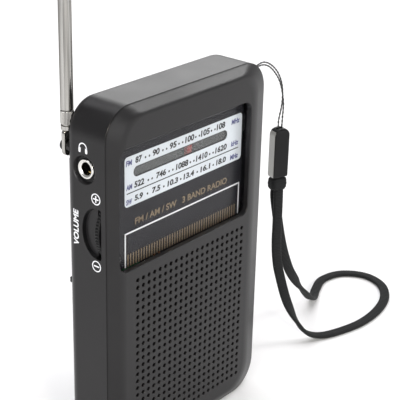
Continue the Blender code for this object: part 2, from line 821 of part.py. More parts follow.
def ribbon_route():
    """Down from the sleeve, round on the table and back up to the sleeve."""
    lying = HEIGHT - RIBBON_R - 0.05
    return [
        bead_point(-0.1, -0.9, 43.4),
        bead_point(0.0, -0.9, 46.6),
        (46.2, 7.3, 53.6),
        (46.3, 7.3, 60.0),
        (46.7, 7.0, 65.5),
        (47.6, 6.5, 70.2),
        (49.9, 5.2, 79.0),
        (53.1, 3.5, 86.5),
        (56.4, 2.1, 91.4),
        (60.8, 0.2, 93.8),
        (66.5, -2.2, lying),
        (76.0, -4.6, lying),
        (86.0, -4.4, lying),
        (95.5, -1.6, lying),
        (102.5, 4.0, lying),
        (104.6, 11.6, lying),
        (100.6, 18.4, lying),
        (92.8, 20.6, lying),
        (85.4, 18.2, lying - 0.1),
        (80.0, 15.4, 93.5),
        (75.4, 13.6, 91.6),
        (69.0, 12.2, 85.9),
        (59.9, 10.8, 76.2),
        (55.6, 10.1, 69.8),
        (51.9, 9.4, 62.7),
        (48.9, 8.9, 54.8),
        bead_point(0.2, 0.9, 46.6),
        bead_point(0.1, 0.9, 43.4),
    ]


def make_strap(thread, plastic):
    top, bottom = 25.2, 39.5
    loops = [
        bead_ring(1.5, 0.9, top, 0.8),
        bead_ring(2.1, 1.3, top + 0.35, 0.9),
        bead_ring(2.4, 1.55, top + 1.1, 0.7),
        bead_ring(2.45, 1.57, top + 2.0, 0.5),
        bead_ring(2.45, 1.57, bottom - 0.2, 0.5),
        bead_ring(2.35, 1.47, bottom, 0.5),
    ]
    bead = piece("strap_clamp", loops, plastic)
    bore = [
        bead_ring(1.15, 0.6, top - 1.0, 0.5),
        bead_ring(1.15, 0.6, top + 1.6, 0.5),
        bead_ring(2.0, 0.65, top + 3.0, 0.5),
        bead_ring(2.0, 0.65, top + 6.4, 0.5),
    ]
    cut(bead, bore)
    sleeve = [
        bead_ring(2.1, 1.35, bottom + 0.3, 0.6),
        bead_ring(2.45, 1.65, bottom + 0.9, 0.8),
        bead_ring(2.45, 1.65, bottom + 2.9, 0.8),
        bead_ring(2.1, 1.5, bottom + 3.6, 0.7),
    ]
    piece("strap_sleeve", sleeve, thread)
    cord("strap_string", smooth_route(string_route(), 2.2), STRING_R, thread)
    cord("strap_ribbon", smooth_route(ribbon_route(), 5.0), RIBBON_R, thread)


# ---------------------------------------------------------------- the whole radio

def build():
    for old in list(bpy.data.objects):
        bpy.data.objects.remove(old)
    charcoal = finish("charcoal_plastic", (0.065, 0.064, 0.066), 0.45)
    black = finish("black_plastic", (0.02, 0.02, 0.022), 0.35)
    grey = finish("grey_plastic", (0.15, 0.16, 0.16), 0.5)
    clear = finish("clear_acrylic", (0.9, 0.92, 0.95), 0.05, alpha=0.15)
    white = finish("printed_dial", (0.72, 0.77, 0.82), 0.35)
    red = finish("red_pointer", (0.7, 0.08, 0.05), 0.4)
    thread = finish("black_thread", (0.018, 0.018, 0.02), 0.85)
    green = finish("board_green", (0.03, 0.17, 0.07), 0.4)
    steel = finish("plated_steel", (0.62, 0.62, 0.63), 0.3, 1.0)
    chrome = finish("chrome", (0.8, 0.8, 0.82), 0.12, 1.0)
    copper = finish("enamelled_copper", (0.5, 0.22, 0.1), 0.35, 1.0)
    paper = finish("cone_paper", (0.05, 0.05, 0.055), 0.9)
    jacket = finish("battery_jacket", (0.08, 0.2, 0.32), 0.35)
    make_front_shell(charcoal)
    make_rear_shell(charcoal)
    make_battery_cover(charcoal)
    make_dial(clear, white, grey, red, thread)
    make_wheels(black, grey)
    make_board(green)
    make_electronics(black, grey, steel, copper)
    make_jack(black, steel)
    make_speaker(steel, paper, thread)
    make_band_switch(black, steel)
    make_batteries(jacket, steel)
    make_antenna(chrome, black, steel)
    make_strap(thread, black)


build()
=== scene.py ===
"""The looks of the pocket radio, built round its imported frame.

Places are given in case coordinates, in millimetres: x to the right seen from the front, depth
backwards from the face, and down from the case's top edge. place() turns them into metres.
"""

from math import cos, pi, radians, sin

import bmesh
import bpy
from mathutils import Matrix, Vector


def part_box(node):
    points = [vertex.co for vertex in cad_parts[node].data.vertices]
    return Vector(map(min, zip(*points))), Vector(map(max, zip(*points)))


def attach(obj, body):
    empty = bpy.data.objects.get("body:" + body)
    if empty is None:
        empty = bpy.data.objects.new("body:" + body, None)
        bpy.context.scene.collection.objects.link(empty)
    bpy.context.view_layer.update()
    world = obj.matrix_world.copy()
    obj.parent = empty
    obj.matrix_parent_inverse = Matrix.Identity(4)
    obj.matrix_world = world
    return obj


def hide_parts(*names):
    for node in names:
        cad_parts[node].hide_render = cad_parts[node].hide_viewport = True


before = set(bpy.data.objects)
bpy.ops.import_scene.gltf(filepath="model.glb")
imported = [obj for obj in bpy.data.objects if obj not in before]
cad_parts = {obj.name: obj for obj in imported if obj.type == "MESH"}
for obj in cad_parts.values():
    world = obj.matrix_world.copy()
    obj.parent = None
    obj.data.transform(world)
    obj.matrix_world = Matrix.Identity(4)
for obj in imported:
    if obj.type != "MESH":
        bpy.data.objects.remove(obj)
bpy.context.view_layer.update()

MM = 0.001

# The case's own box gives the frame of all the places below
CASE_LOW, CASE_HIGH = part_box("rear_shell")
FACE_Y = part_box("front_shell")[0].y
HALF_WIDTH = (CASE_HIGH.x - CASE_LOW.x) / 2 / MM
HEIGHT = CASE_HIGH.z / MM
DEPTH = (CASE_HIGH.y - FACE_Y) / MM

CORNER_R = 8.0
BACK_EDGE_R = 3.2
SEAM = 1.65
SEAM_GAP = 0.1
WALL = 1.5

FACE_LEFT = -25.0
FACE_RIGHT = 24.0
FACE_INSET = 2.5
FACE_R = 7.0
FACE_THICK = 1.4
HOLLOW_FROM = 0.5
OVERSHOOT = 1.0
LIP_OUT = 1.7
LIP_IN = 2.5
LIP_DEPTH = 3.0
WINDOW = (-25.9, 22.1, 9.6, 40.5)
WINDOW_R = 2.5
CHANNEL = (-18.6, 15.8, 16.15, 18.65)
POINTER_X = 2.1
POINTER_HALF = 1.9
POINTER_SOLID = 0.2
LENS_DEPTH = (1.6, 2.5)
DIAL_DEPTH = (2.75, 3.25)
INK = 0.02
INK_DEPTH = 2.67
PRINT_SINK = 0.02
TICKS = 44

GRILLE_PITCH = 2.0
GRILLE_COLUMNS = 21
GRILLE_ROWS = 23
GRILLE_TOP = 43.9
GRILLE_HOLE_R = 0.52

WHEEL_R = 10.0
WHEEL_X = 19.6
WHEEL_DOWN = 30.3
WHEEL_DEPTH = (3.55, 4.85)
DRUM_R = 7.4
SLOT_DEPTH = (3.2, 5.1)
SLOT_HALF = 6.4
SCOOP_REACH = 4.2

PLUS_AT = (4.76, 21.5)
MINUS_AT = (4.8, 38.5)
JACK = (8.4, 15.3)
SHELF_DEPTH = 13.4
SHELF_DOWN = 14.4
ANTENNA = (-27.3, 15.2)
PIVOT_DOWN = 11.5
PIVOT_HOLE_R = 0.85
COLLAR_R = 1.6
SECTION_R = (1.5, 1.1, 0.75, 0.4)
SECTION_BORE_R = (1.2, 0.85, 0.5)
TIP_LENGTH = 2.6
SWITCH = (-24.6, 47.15)
SWITCH_TRAVEL = 5.0
EYELET_DEPTH = 8.0
EYELET_DOWNS = (9.0, 12.2)
STRING_R = 0.25
STRING_LAY = 2.4
RIBBON_R = 0.7
RIBBON_WIDTH = 3.0
RIBBON_THICK = 1.2
RIBBON_RIB = 0.05
RIBBON_RIB_PITCH = 0.8
BEAD = (46.3, 8.1)
BEAD_TURN = radians(-20)
FRONT_BOSSES = ((-20.0, 5.2), (24.2, 5.2), (-24.2, 63.5), (24.2, 63.5))
COVER_HALF = 26.0
COVER_TOP = 69.2
COVER_DEPTH = 13.6
COVER_GAP = 0.2
BAY = (-25.0, 25.0, 70.2, 92.8)
BAY_FRONT = 2.75
BOSS_R = 1.9
BOSS_END = 7.0
POST_R = 2.5
SCREW_R = 0.6
SCREW_HOLE_R = SCREW_R + 0.2
SCREW_HEAD_R = 1.4
BOARD_SCREWS = ((0.0, 37.5), (6.0, 11.4))
BOARD_BACK = 6.6
TOP_CAVITY_DEPTH = 11.9
SCOOP_SINK = 1.0
JACK_HOLE_R = 1.75
JACK_RING_R = 2.4
JACK_SINK_R = 3.45
SWITCH_HALF = 0.75
EYELET_R = 0.75

PATCH_SPAN = (0.45, 0.9)
RELIEF_IN_COLOUR = 0.35
SOFT_ANGLE = 60

FLOOR_HALF = 2.0
LIGHT_AIM = (0.0, 0.0, 0.06)
CAMERA_TARGET = (12.77, 0.0, 58.84)
CAMERA_AZIMUTH = -50.78
CAMERA_ELEVATION = 23.63
CAMERA_ROLL = 1.41
CAMERA_DISTANCE = 0.3085
CAMERA_LENS = 107.65


# ---------------- places and outlines

def place(x, depth, down):
    """Case coordinates in millimetres to the frame's metres."""
    return Vector((x * MM, FACE_Y + depth * MM, (HEIGHT - down) * MM))


def case_place(point):
    """The frame's metres to case coordinates in millimetres."""
    return point.x / MM, (point.y - FACE_Y) / MM, HEIGHT - point.z / MM


def node_spans(node):
    """A node's box in case coordinates: its x, its depths and its downs, each from low to high."""
    low, high = (case_place(corner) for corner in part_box(node))
    return (low[0], high[0]), (low[1], high[1]), (high[2], low[2])


def on_axis(axis, a, b, along):
    """The case coordinates of a point of an outline that lies across an axis."""
    if axis == "x":
        return (along, a, b)
    if axis == "depth":
        return (a, along, b)
    return (a, b, along)


def arc(centre, radius, start, end, steps, radius_b=None):
    """Points round a centre between two angles in degrees. With radius_b they lie on an ellipse."""
    radius_b = radius if radius_b is None else radius_b
    points = []
    for step in range(steps + 1):
        angle = radians(start + (end - start) * step / steps)
        points.append((centre[0] + radius * cos(angle), centre[1] + radius_b * sin(angle)))
    return points


def rounded(a_low, a_high, b_low, b_high, radius, steps=14):
    """A rectangle with round corners."""
    corners = (
        (a_high - radius, b_high - radius, 0), (a_low + radius, b_high - radius, 90),
        (a_low + radius, b_low + radius, 180), (a_high - radius, b_low + radius, 270),
    )
    return [point for a, b, start in corners for point in arc((a, b), radius, start, start + 90, steps)]


def grown(bounds, by):
    """Rectangle bounds with every side moved outwards."""
    return (bounds[0] - by, bounds[1] + by, bounds[2] - by, bounds[3] + by)


def disc(a, b, radius, count=40, rib=0.0, ribs=0):
    """A circle, with a wave of ribs round it where rib is above 0."""
    outline = []
    for index in range(count):
        angle = 2 * pi * index / count
        reach = radius - rib * (0.5 - 0.5 * cos(ribs * angle))
        outline.append((a + reach * cos(angle), b + reach * sin(angle)))
    return outline


def blend_outlines(first, second, share):
    """An outline that lies a share of the way from one outline to another."""
    return [(a0 + (a1 - a0) * share, b0 + (b1 - b0) * share) for (a0, b0), (a1, b1) in zip(first, second)]


def ring_at(axis, outline, along):
    """An outline at a place along an axis."""
    return [on_axis(axis, a, b, along) for a, b in outline]


def stack(rows, axis="depth"):
    """Loops from pairs of an outline and its place along an axis."""
    return [ring_at(axis, outline, along) for outline, along in rows]


def slab(outline, low, high, axis="depth"):
    """An outline drawn out along an axis."""
    return stack(((outline, low), (outline, high)), axis)


def pin(x, down, radius, low, high, count=40):
    """A round rod that points backwards."""
    return slab(disc(x, down, radius, count), low, high)


def turned(centre, profile, count=40, axis="depth"):
    """A profile of (radius, along) turned about an axis."""
    return stack([(disc(*centre, radius, count), along) for radius, along in profile], axis)


def smooth_route(points, spacing):
    """Points at an even spacing on one smooth curve through the route's own points."""
    route = [Vector(point) for point in points]
    ends = [2 * route[0] - route[1], *route, 2 * route[-1] - route[-2]]
    fine = []
    steps = 40
    for before, start, end, after in zip(ends, ends[1:], ends[2:], ends[3:]):
        slope = end - before
        square_part = 2 * before - 5 * start + 4 * end - after
        cube_part = 3 * start - before - 3 * end + after
        for step in range(steps):
            t = step / steps
            fine.append(0.5 * (2 * start + slope * t + square_part * t**2 + cube_part * t**3))
    fine.append(route[-1])
    reach = [0.0]
    for start, end in zip(fine, fine[1:]):
        reach.append(reach[-1] + (end - start).length)
    count = max(2, round(reach[-1] / spacing))
    even = []
    index = 0
    for step in range(count + 1):
        wanted = reach[-1] * step / count
        while index < len(reach) - 2 and reach[index + 1] < wanted:
            index += 1
        share = (wanted - reach[index]) / (reach[index + 1] - reach[index])
        even.append(fine[index].lerp(fine[index + 1], share))
    return even


# ---------------- solids

def linked(name, data):
    """A new object in the scene."""
    made = bpy.data.objects.new(name, data)
    bpy.context.scene.collection.objects.link(made)
    return made


def evaluated(holder):
    """The mesh that an object's modifiers or its text come to."""
    bpy.context.view_layer.update()
    graph = bpy.context.evaluated_depsgraph_get()
    return bpy.data.meshes.new_from_object(holder.evaluated_get(graph))


def add_loops(work, loops, ring=False):
    """Adds loops of equal length, joined with faces, and closes the ends or, for a ring, joins them."""
    rows = [[work.verts.new(place(*point)) for point in loop] for loop in loops]
    pairs = list(zip(rows, rows[1:]))
    if ring:
        pairs.append((rows[-1], rows[0]))
    else:
        work.faces.new(rows[0])
        work.faces.new(rows[-1])
    for row, following in pairs:
        for index in range(len(row)):
            after = (index + 1) % len(row)
            work.faces.new((row[index], row[after], following[after], following[index]))


def finished(name, work):
    """Turns a bmesh into an object in the scene."""
    bmesh.ops.recalc_face_normals(work, faces=work.faces)
    mesh = bpy.data.meshes.new(name)
    work.to_mesh(mesh)
    work.free()
    return linked(name, mesh)


def solid(name, *shapes):
    """One object of one or more shapes, each given as loops or as (loops, "ring")."""
    work = bmesh.new()
    for shape in shapes:
        loops, kind = shape if isinstance(shape, tuple) else (shape, None)
        add_loops(work, loops, kind == "ring")
    return finished(name, work)


def shaped(target, operation, tool):
    """Adds a Boolean modifier; settle() applies it."""
    tool.hide_render = True
    change = target.modifiers.new(tool.name, "BOOLEAN")
    change.operation = operation
    change.object = tool


def cut(target, *shapes):
    """Takes shapes away from a piece."""
    for shape in shapes:
        shaped(target, "DIFFERENCE", solid("cutter", shape))


def join(target, *shapes):
    """Adds shapes to a piece."""
    for shape in shapes:
        shaped(target, "UNION", solid("addition", shape))


def settle(target, sharp=30):
    """Applies the Booleans, removes their tools and shades the edges under an angle smooth."""
    tools = [change.object for change in target.modifiers if change.type == "BOOLEAN"]
    if tools:
        mesh = evaluated(target)
        target.modifiers.clear()
        target.data = mesh
    for tool in tools:
        bpy.data.objects.remove(tool)
    target.data.shade_smooth()
    target.data.set_sharp_from_angle(angle=radians(sharp))
    level = target.modifiers.new("face_normals", "WEIGHTED_NORMAL")
    level.keep_sharp = True
    return target


def dress(piece, material, slot, *nodes, body="case"):
    """Gives a piece its material and its body, and hides the nodes that it stands for. The slot is not
    used.
    """
    piece.data.materials.clear()
    piece.data.materials.append(material)
    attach(piece, body)
    if nodes:
        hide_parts(*nodes)


def complete(piece, material, slot, *nodes, body="case", sharp=30):
    """Settles a piece and dresses it."""
    dress(settle(piece, sharp), material, slot, *nodes, body=body)


# ---------------- materials

def feed(tree, socket, value):
    """Links a socket to another node's output, or gives it a plain value."""
    if isinstance(value, bpy.types.NodeSocket):
        tree.links.new(value, socket)
    else:
        socket.default_value = value


def fill(tree, node, **values):
    """Feeds the node's inputs of these names; a name that is no input is the node's own setting."""
    for name, value in values.items():
        label = name.replace("_", " ").title().replace("Ior", "IOR")
        if label in node.inputs:
            feed(tree, node.inputs[label], value)
        else:
            setattr(node, name, value)


def shader_node(tree, kind, **values):
    made = tree.nodes.new("ShaderNode" + kind)
    fill(tree, made, **values)
    return made


def places(tree, size, stretch=(1.0, 1.0, 1.0)):
    """The piece's own coordinates, counted in steps of a size in millimetres."""
    coords = shader_node(tree, "TexCoord").outputs["Object"]
    scale = [share / (size * MM) for share in stretch]
    return shader_node(tree, "Mapping", vector=coords, scale=scale).outputs["Vector"]


def noise(tree, size, stretch=(1.0, 1.0, 1.0), detail=3.0):
    """Noise with features of a size in millimetres, drawn out along the axes where stretch is small."""
    vector = places(tree, size, stretch)
    return shader_node(tree, "TexNoise", scale=1.0, detail=detail, vector=vector).outputs["Fac"]


def bands(tree, size, direction, distortion=0.0):
    """Soft stripes across an axis, a size in millimetres apart."""
    made = shader_node(
        tree, "TexWave", bands_direction=direction, distortion=distortion,
        scale=pi / 10, vector=places(tree, size),
    )
    return made.outputs["Fac"]


def combined(tree, operation, first, second):
    """The result of a Math node on two values."""
    made = shader_node(tree, "Math", operation=operation)
    feed(tree, made.inputs[0], first)
    feed(tree, made.inputs[1], second)
    return made.outputs[0]


def spark_grain(tree):
    """The fine eroded grain of a moulded case."""
    return noise(tree, 0.16, detail=4.0)


def satin_grain(tree):
    """The soft unevenness of a smooth surface."""
    return noise(tree, 0.35, detail=2.0)


def drawn_lines(tree):
    """Faint lines along the tube, left by drawing and polishing it."""
    return noise(tree, 0.1, (1.0, 1.0, 0.003), 2.0)


def printed_dots(tree):
    """The slight unevenness of a screen print."""
    return noise(tree, 0.12, detail=2.0)


def woven(tree):
    """A plain weave of threads that go over and under each other."""
    return combined(tree, "MAXIMUM", bands(tree, 0.32, "X"), bands(tree, 0.32, "Z"))


def ribbon_twill(tree):
    """Slanting threads of a tight narrow weave."""
    return bands(tree, 0.42, "DIAGONAL", 1.2)


def board_tracks(tree):
    """Copper tracks that show as low ridges under the green lacquer."""
    cells = shader_node(tree, "TexVoronoi", distance="MANHATTAN", feature="F1", vector=places(tree, 2.2))
    return combined(tree, "GREATER_THAN", cells.outputs["Distance"], 0.55)


def windings(tree):
    """Turns of enamelled wire laid side by side."""
    return bands(tree, 0.3, "X")


def fibres(tree):
    """The fibres of pressed paper."""
    return noise(tree, 0.4, (0.25, 1.0, 1.0), 5.0)


def finish(
    name, dark, light, rough, metallic=0.0, cloud=14.0, stretch=(1.0, 1.0, 1.0),
    height=satin_grain, depth=0.01, **plain,
):
    """A material whose colour and roughness wander between two values over patches of a size in
    millimetres, with a fine relief of a depth in millimetres. plain sets further shader inputs."""
    made = bpy.data.materials.new(name)
    made.use_nodes = True
    tree = made.node_tree
    relief = height(tree)
    patches = noise(tree, cloud, stretch)
    patches = combined(tree, "ADD", patches, combined(tree, "MULTIPLY", relief, RELIEF_IN_COLOUR))
    ramp = shader_node(tree, "ValToRGB", fac=patches)
    for stop, share, colour in zip(ramp.color_ramp.elements, PATCH_SPAN, (dark, light)):
        stop.position = share
        stop.color = (*colour, 1.0)
    spread = shader_node(
        tree, "MapRange", value=patches, from_min=PATCH_SPAN[0], from_max=PATCH_SPAN[1],
        to_min=rough[0], to_max=rough[1],
    )
    fill(
        tree, tree.nodes["Principled BSDF"], metallic=metallic, base_color=ramp.outputs["Color"],
        roughness=spread.outputs["Result"], **plain,
    )
    if depth:
        bump = shader_node(tree, "Bump", strength=1.0, distance=depth * MM, height=relief)
        fill(tree, tree.nodes["Principled BSDF"], normal=bump.outputs["Normal"])
    return made


def ink(name, dark, light, metallic=0.0):
    return finish(name, dark, light, (0.4, 0.5), metallic, height=printed_dots, depth=0.003)


def pointer_finish():
    """Red at the middle of the pointer, fading out to its sides."""
    made = finish("red_pointer", (0.9, 0.05, 0.04), (0.95, 0.08, 0.06), (0.4, 0.5))
    tree = made.node_tree
    coords = shader_node(tree, "TexCoord").outputs["Object"]
    split = shader_node(tree, "SeparateXYZ", vector=coords)
    off = combined(tree, "SUBTRACT", split.outputs["X"], POINTER_X * MM)
    fade = shader_node(
        tree, "MapRange", interpolation_type="SMOOTHSTEP", value=combined(tree, "ABSOLUTE", off, 0.0),
        from_min=POINTER_SOLID * MM, from_max=POINTER_HALF * MM, to_min=1.0, to_max=0.0,
    )
    fill(tree, tree.nodes["Principled BSDF"], alpha=fade.outputs["Result"])
    return made


CASE = finish(
    "case_plastic", (0.0078, 0.0074, 0.0081), (0.011, 0.0105, 0.0113), (0.28, 0.36),
    height=spark_grain, specular_ior_level=0.3,
)
BLACK = finish(
    "black_plastic", (0.003, 0.003, 0.0035), (0.006, 0.006, 0.0065), (0.3, 0.38),
    depth=0.004, specular_ior_level=0.2,
)
GREY = finish("grey_plastic", (0.1, 0.105, 0.105), (0.13, 0.135, 0.135), (0.45, 0.55))
# pale metallic for the clamp's left side: a painted reflection of the bright surroundings
PAINTED_SIDE_REFLECTION = finish("painted_side_reflection", (0.3, 0.3, 0.29), (0.4, 0.4, 0.38), (0.35, 0.5), 0.6)
PANEL = finish(
    "window_print", (0.0105, 0.0105, 0.0135), (0.013, 0.013, 0.0165), (0.3, 0.36),
    height=printed_dots, depth=0.001, specular_ior_level=0.25,
)
SCALE = finish(
    "scale_print", (0.65, 0.7, 0.75), (0.7, 0.75, 0.8), (0.35, 0.42), height=printed_dots, depth=0.002
)
WHITE_INK = ink("white_ink", (0.72, 0.73, 0.76), (0.84, 0.85, 0.88))
BLACK_INK = ink("black_ink", (0.006, 0.006, 0.007), (0.014, 0.014, 0.016))
BLUE_INK = ink("blue_ink", (0.06, 0.065, 0.2), (0.1, 0.105, 0.27))
GOLD_INK = ink("gold_ink", (0.2, 0.15, 0.095), (0.27, 0.205, 0.13), 0.2)
CLEAR = finish(
    "clear_acrylic", (0.02, 0.02, 0.024), (0.03, 0.03, 0.035), (0.05, 0.07), depth=0.0, alpha=0.05
)
FROST = finish("frosted_film", (0.22, 0.23, 0.235), (0.25, 0.26, 0.265), (0.4, 0.5), alpha=0.32)
# chrome whose colour runs in streaks along the tube from near black to bright: painted reflections, over
# real fine drawing lines
CHROME_PAINTED_STREAKS = finish(
    "chrome", (0.06, 0.057, 0.053), (0.62, 0.61, 0.585), (0.12, 0.2), 1.0, 1.0, (1.0, 1.0, 0.02),
    drawn_lines, 0.002, specular_tint=(0.25, 0.23, 0.2, 1.0),
)
NICKEL = finish("nickel", (0.7, 0.69, 0.66), (0.85, 0.84, 0.82), (0.12, 0.22), 1.0, 3.0)
STEEL = finish("plated_steel", (0.5, 0.5, 0.5), (0.62, 0.62, 0.62), (0.22, 0.34), 1.0)
BRASS = finish("brass", (0.5, 0.36, 0.13), (0.62, 0.46, 0.2), (0.2, 0.3), 1.0)
COPPER = finish(
    "enamelled_copper", (0.42, 0.15, 0.06), (0.55, 0.24, 0.1), (0.22, 0.32), 1.0, 5.0,
    height=windings, depth=0.05,
)
BOARD = finish(
    "board_lacquer", (0.015, 0.1, 0.035), (0.03, 0.17, 0.06), (0.25, 0.35),
    cloud=7.0, height=board_tracks, depth=0.04, coat_weight=0.4,
)
EPOXY = finish("chip_epoxy", (0.012, 0.012, 0.013), (0.02, 0.02, 0.021), (0.5, 0.62), height=spark_grain)
FERRITE = finish("ferrite", (0.02, 0.02, 0.022), (0.035, 0.035, 0.038), (0.3, 0.5))
PAPER = finish(
    "cone_paper", (0.02, 0.02, 0.021), (0.045, 0.044, 0.042), (0.8, 0.95), height=fibres, depth=0.04
)
CLOTH = finish(
    "grille_cloth", (0.004, 0.004, 0.004), (0.012, 0.012, 0.012), (0.85, 0.95),
    height=woven, depth=0.08, sheen_weight=0.2,
)
THREAD = finish(
    "black_thread", (0.003, 0.0033, 0.0037), (0.0095, 0.0102, 0.011), (0.6, 0.8),
    cloud=3.0, height=ribbon_twill, depth=0.05, specular_ior_level=0.2, sheen_weight=0.04,
)
NYLON = finish(
    "nylon_filament", (0.006, 0.006, 0.006), (0.05, 0.05, 0.05), (0.25, 0.4),
    cloud=3.0, specular_ior_level=0.3, coat_weight=0.3, coat_roughness=0.1,
)
JACKET = finish(
    "battery_jacket", (0.03, 0.11, 0.2), (0.05, 0.17, 0.29), (0.25, 0.35), 0.3,
    depth=0.004, coat_weight=0.5,
)
POINTER = pointer_finish()
FLOOR = finish(
    "pale_floor", (0.88, 0.88, 0.88), (0.92, 0.92, 0.92), (0.7, 0.8), cloud=60.0, height=spark_grain
)


# ---------------- case

def case_outline(inset):
    """The case seen from the front, moved inwards."""
    sides = (-HALF_WIDTH + inset, HALF_WIDTH - inset)
    return rounded(*sides, inset, HEIGHT - inset, CORNER_R - inset)


def screw_post(down):
    """How deep the back wall is behind a case screw, and how deep its head sits."""
    if down < SHELF_DOWN:
        return TOP_CAVITY_DEPTH + 0.4, SHELF_DEPTH - 1.0
    return DEPTH - WALL + 0.4, DEPTH - 1.8


def front_case_loops():
    """The face, the slanted band with its rounded edges, and the lip inside."""
    face = rounded(FACE_LEFT, FACE_RIGHT, FACE_INSET, HEIGHT - FACE_INSET, FACE_R)
    band_fall = SEAM - 0.15
    soft = 0.3
    steps = 6
    edge = []
    for step in range(steps + 1):
        turn = step / steps
        edge.append((soft * (turn**2 - (1 - turn) ** 2), soft * turn**2))
    rows = [
        (blend_outlines(face, case_outline(0.0), share), fall * band_fall)
        for share, fall in (*edge, (0.9, 0.9), (0.95, 0.96))
    ]
    inside = (
        (0.0, SEAM - 0.12), (0.15, SEAM), (0.4, SEAM + 0.03), (LIP_OUT, SEAM + 0.03),
        (LIP_OUT, LIP_DEPTH), (LIP_IN, LIP_DEPTH), (LIP_IN, FACE_THICK),
    )
    rows += [(case_outline(inset), depth) for inset, depth in inside]
    return stack(rows)


def grille_holes():
    """Round holes in rows, each with a small countersink at the face."""
    profile = ((GRILLE_HOLE_R + 0.17, -0.05), (GRILLE_HOLE_R, 0.12), (GRILLE_HOLE_R, FACE_THICK + 0.05))
    holes = []
    for row in range(GRILLE_ROWS):
        for column in range(GRILLE_COLUMNS):
            x = (column - (GRILLE_COLUMNS - 1) / 2) * GRILLE_PITCH
            down = GRILLE_TOP + row * GRILLE_PITCH
            holes.append(turned((x, down), profile, 16))
    return holes


def make_front_case():
    case = solid("front_case", front_case_loops())
    bevel = 0.2
    wide = rounded(*grown(WINDOW, bevel), WINDOW_R + bevel)
    narrow = rounded(*WINDOW, WINDOW_R)
    rows = ((wide, -OVERSHOOT), (wide, 0.0), (narrow, bevel), (narrow, FACE_THICK + 0.6))
    cut(case, stack(rows))
    for x, down in FRONT_BOSSES:
        join(case, pin(x, down, BOSS_R, FACE_THICK - 0.3, BOSS_END))
        cut(case, pin(x, down, SCREW_HOLE_R, 2.4, BOSS_END + OVERSHOOT, 20))
    shaped(case, "DIFFERENCE", solid("grille_cutter", *grille_holes()))
    complete(case, CASE, "charcoal_plastic", "front_shell")


def make_cloth():
    """A thin cloth that is stretched behind the grille's holes."""
    xs, (front, _), downs = node_spans("grille_cloth")
    outline = rounded(*xs, *downs, 1.0, 6)
    cloth = solid("speaker_cloth", slab(outline, front + 0.18, front + 0.02))
    complete(cloth, CLOTH, "black_thread", "grille_cloth")


def back_hull_loops():
    """The rear half's outer form, from the seam to the rounded back edge."""
    first_depth = SEAM + SEAM_GAP
    rows = [(0.4, first_depth), (0.15, first_depth + 0.03), (0.0, first_depth + 0.16)]
    steps = 12
    for step in range(steps + 1):
        angle = radians(90 * step / steps)
        depth = DEPTH - BACK_EDGE_R * (1 - sin(angle))
        rows.append((BACK_EDGE_R * (1 - cos(angle)), depth))
    return stack([(case_outline(inset), depth) for inset, depth in rows])


def mirrored(side, outline_at):
    """Loops at distances in from a side wall, drawn for the left (-1) or the right (+1) wall."""
    return stack([(outline, side * (HALF_WIDTH - inward)) for outline, inward in outline_at], "x")


def scoop_loops(side):
    """The thumb hollow behind a wheel slot: half an ellipse with a steep wall and a flat floor."""
    start, centre = SLOT_DEPTH[1] - 0.3, (SLOT_DEPTH[1], WHEEL_DOWN)
    floor = SCOOP_SINK
    rows = []
    for share, inward in ((1.02, -0.2), (1.0, 0.02), (0.985, 0.08), (0.94, floor - 0.03), (0.9, floor)):
        half = SLOT_HALF * share
        curve = arc(centre, SCOOP_REACH * share, -90, 90, 32, (SLOT_HALF - 0.1) * share)
        rows.append(([(start, WHEEL_DOWN - half), *curve, (start, WHEEL_DOWN + half)], inward))
    return mirrored(side, rows)


def wheel_slot_loops(side):
    """The slot that a wheel looks out of."""
    outline = rounded(*SLOT_DEPTH, WHEEL_DOWN - SLOT_HALF, WHEEL_DOWN + SLOT_HALF, 0.5, 5)
    return mirrored(side, ((outline, -1.0), (outline, WALL + 0.5)))


def square(a_low, a_high, b_low, b_high):
    """A rectangle with corners that are only just rounded."""
    radius = min(0.25, 0.3 * min(a_high - a_low, b_high - b_low))
    return rounded(a_low, a_high, b_low, b_high, radius, 4)


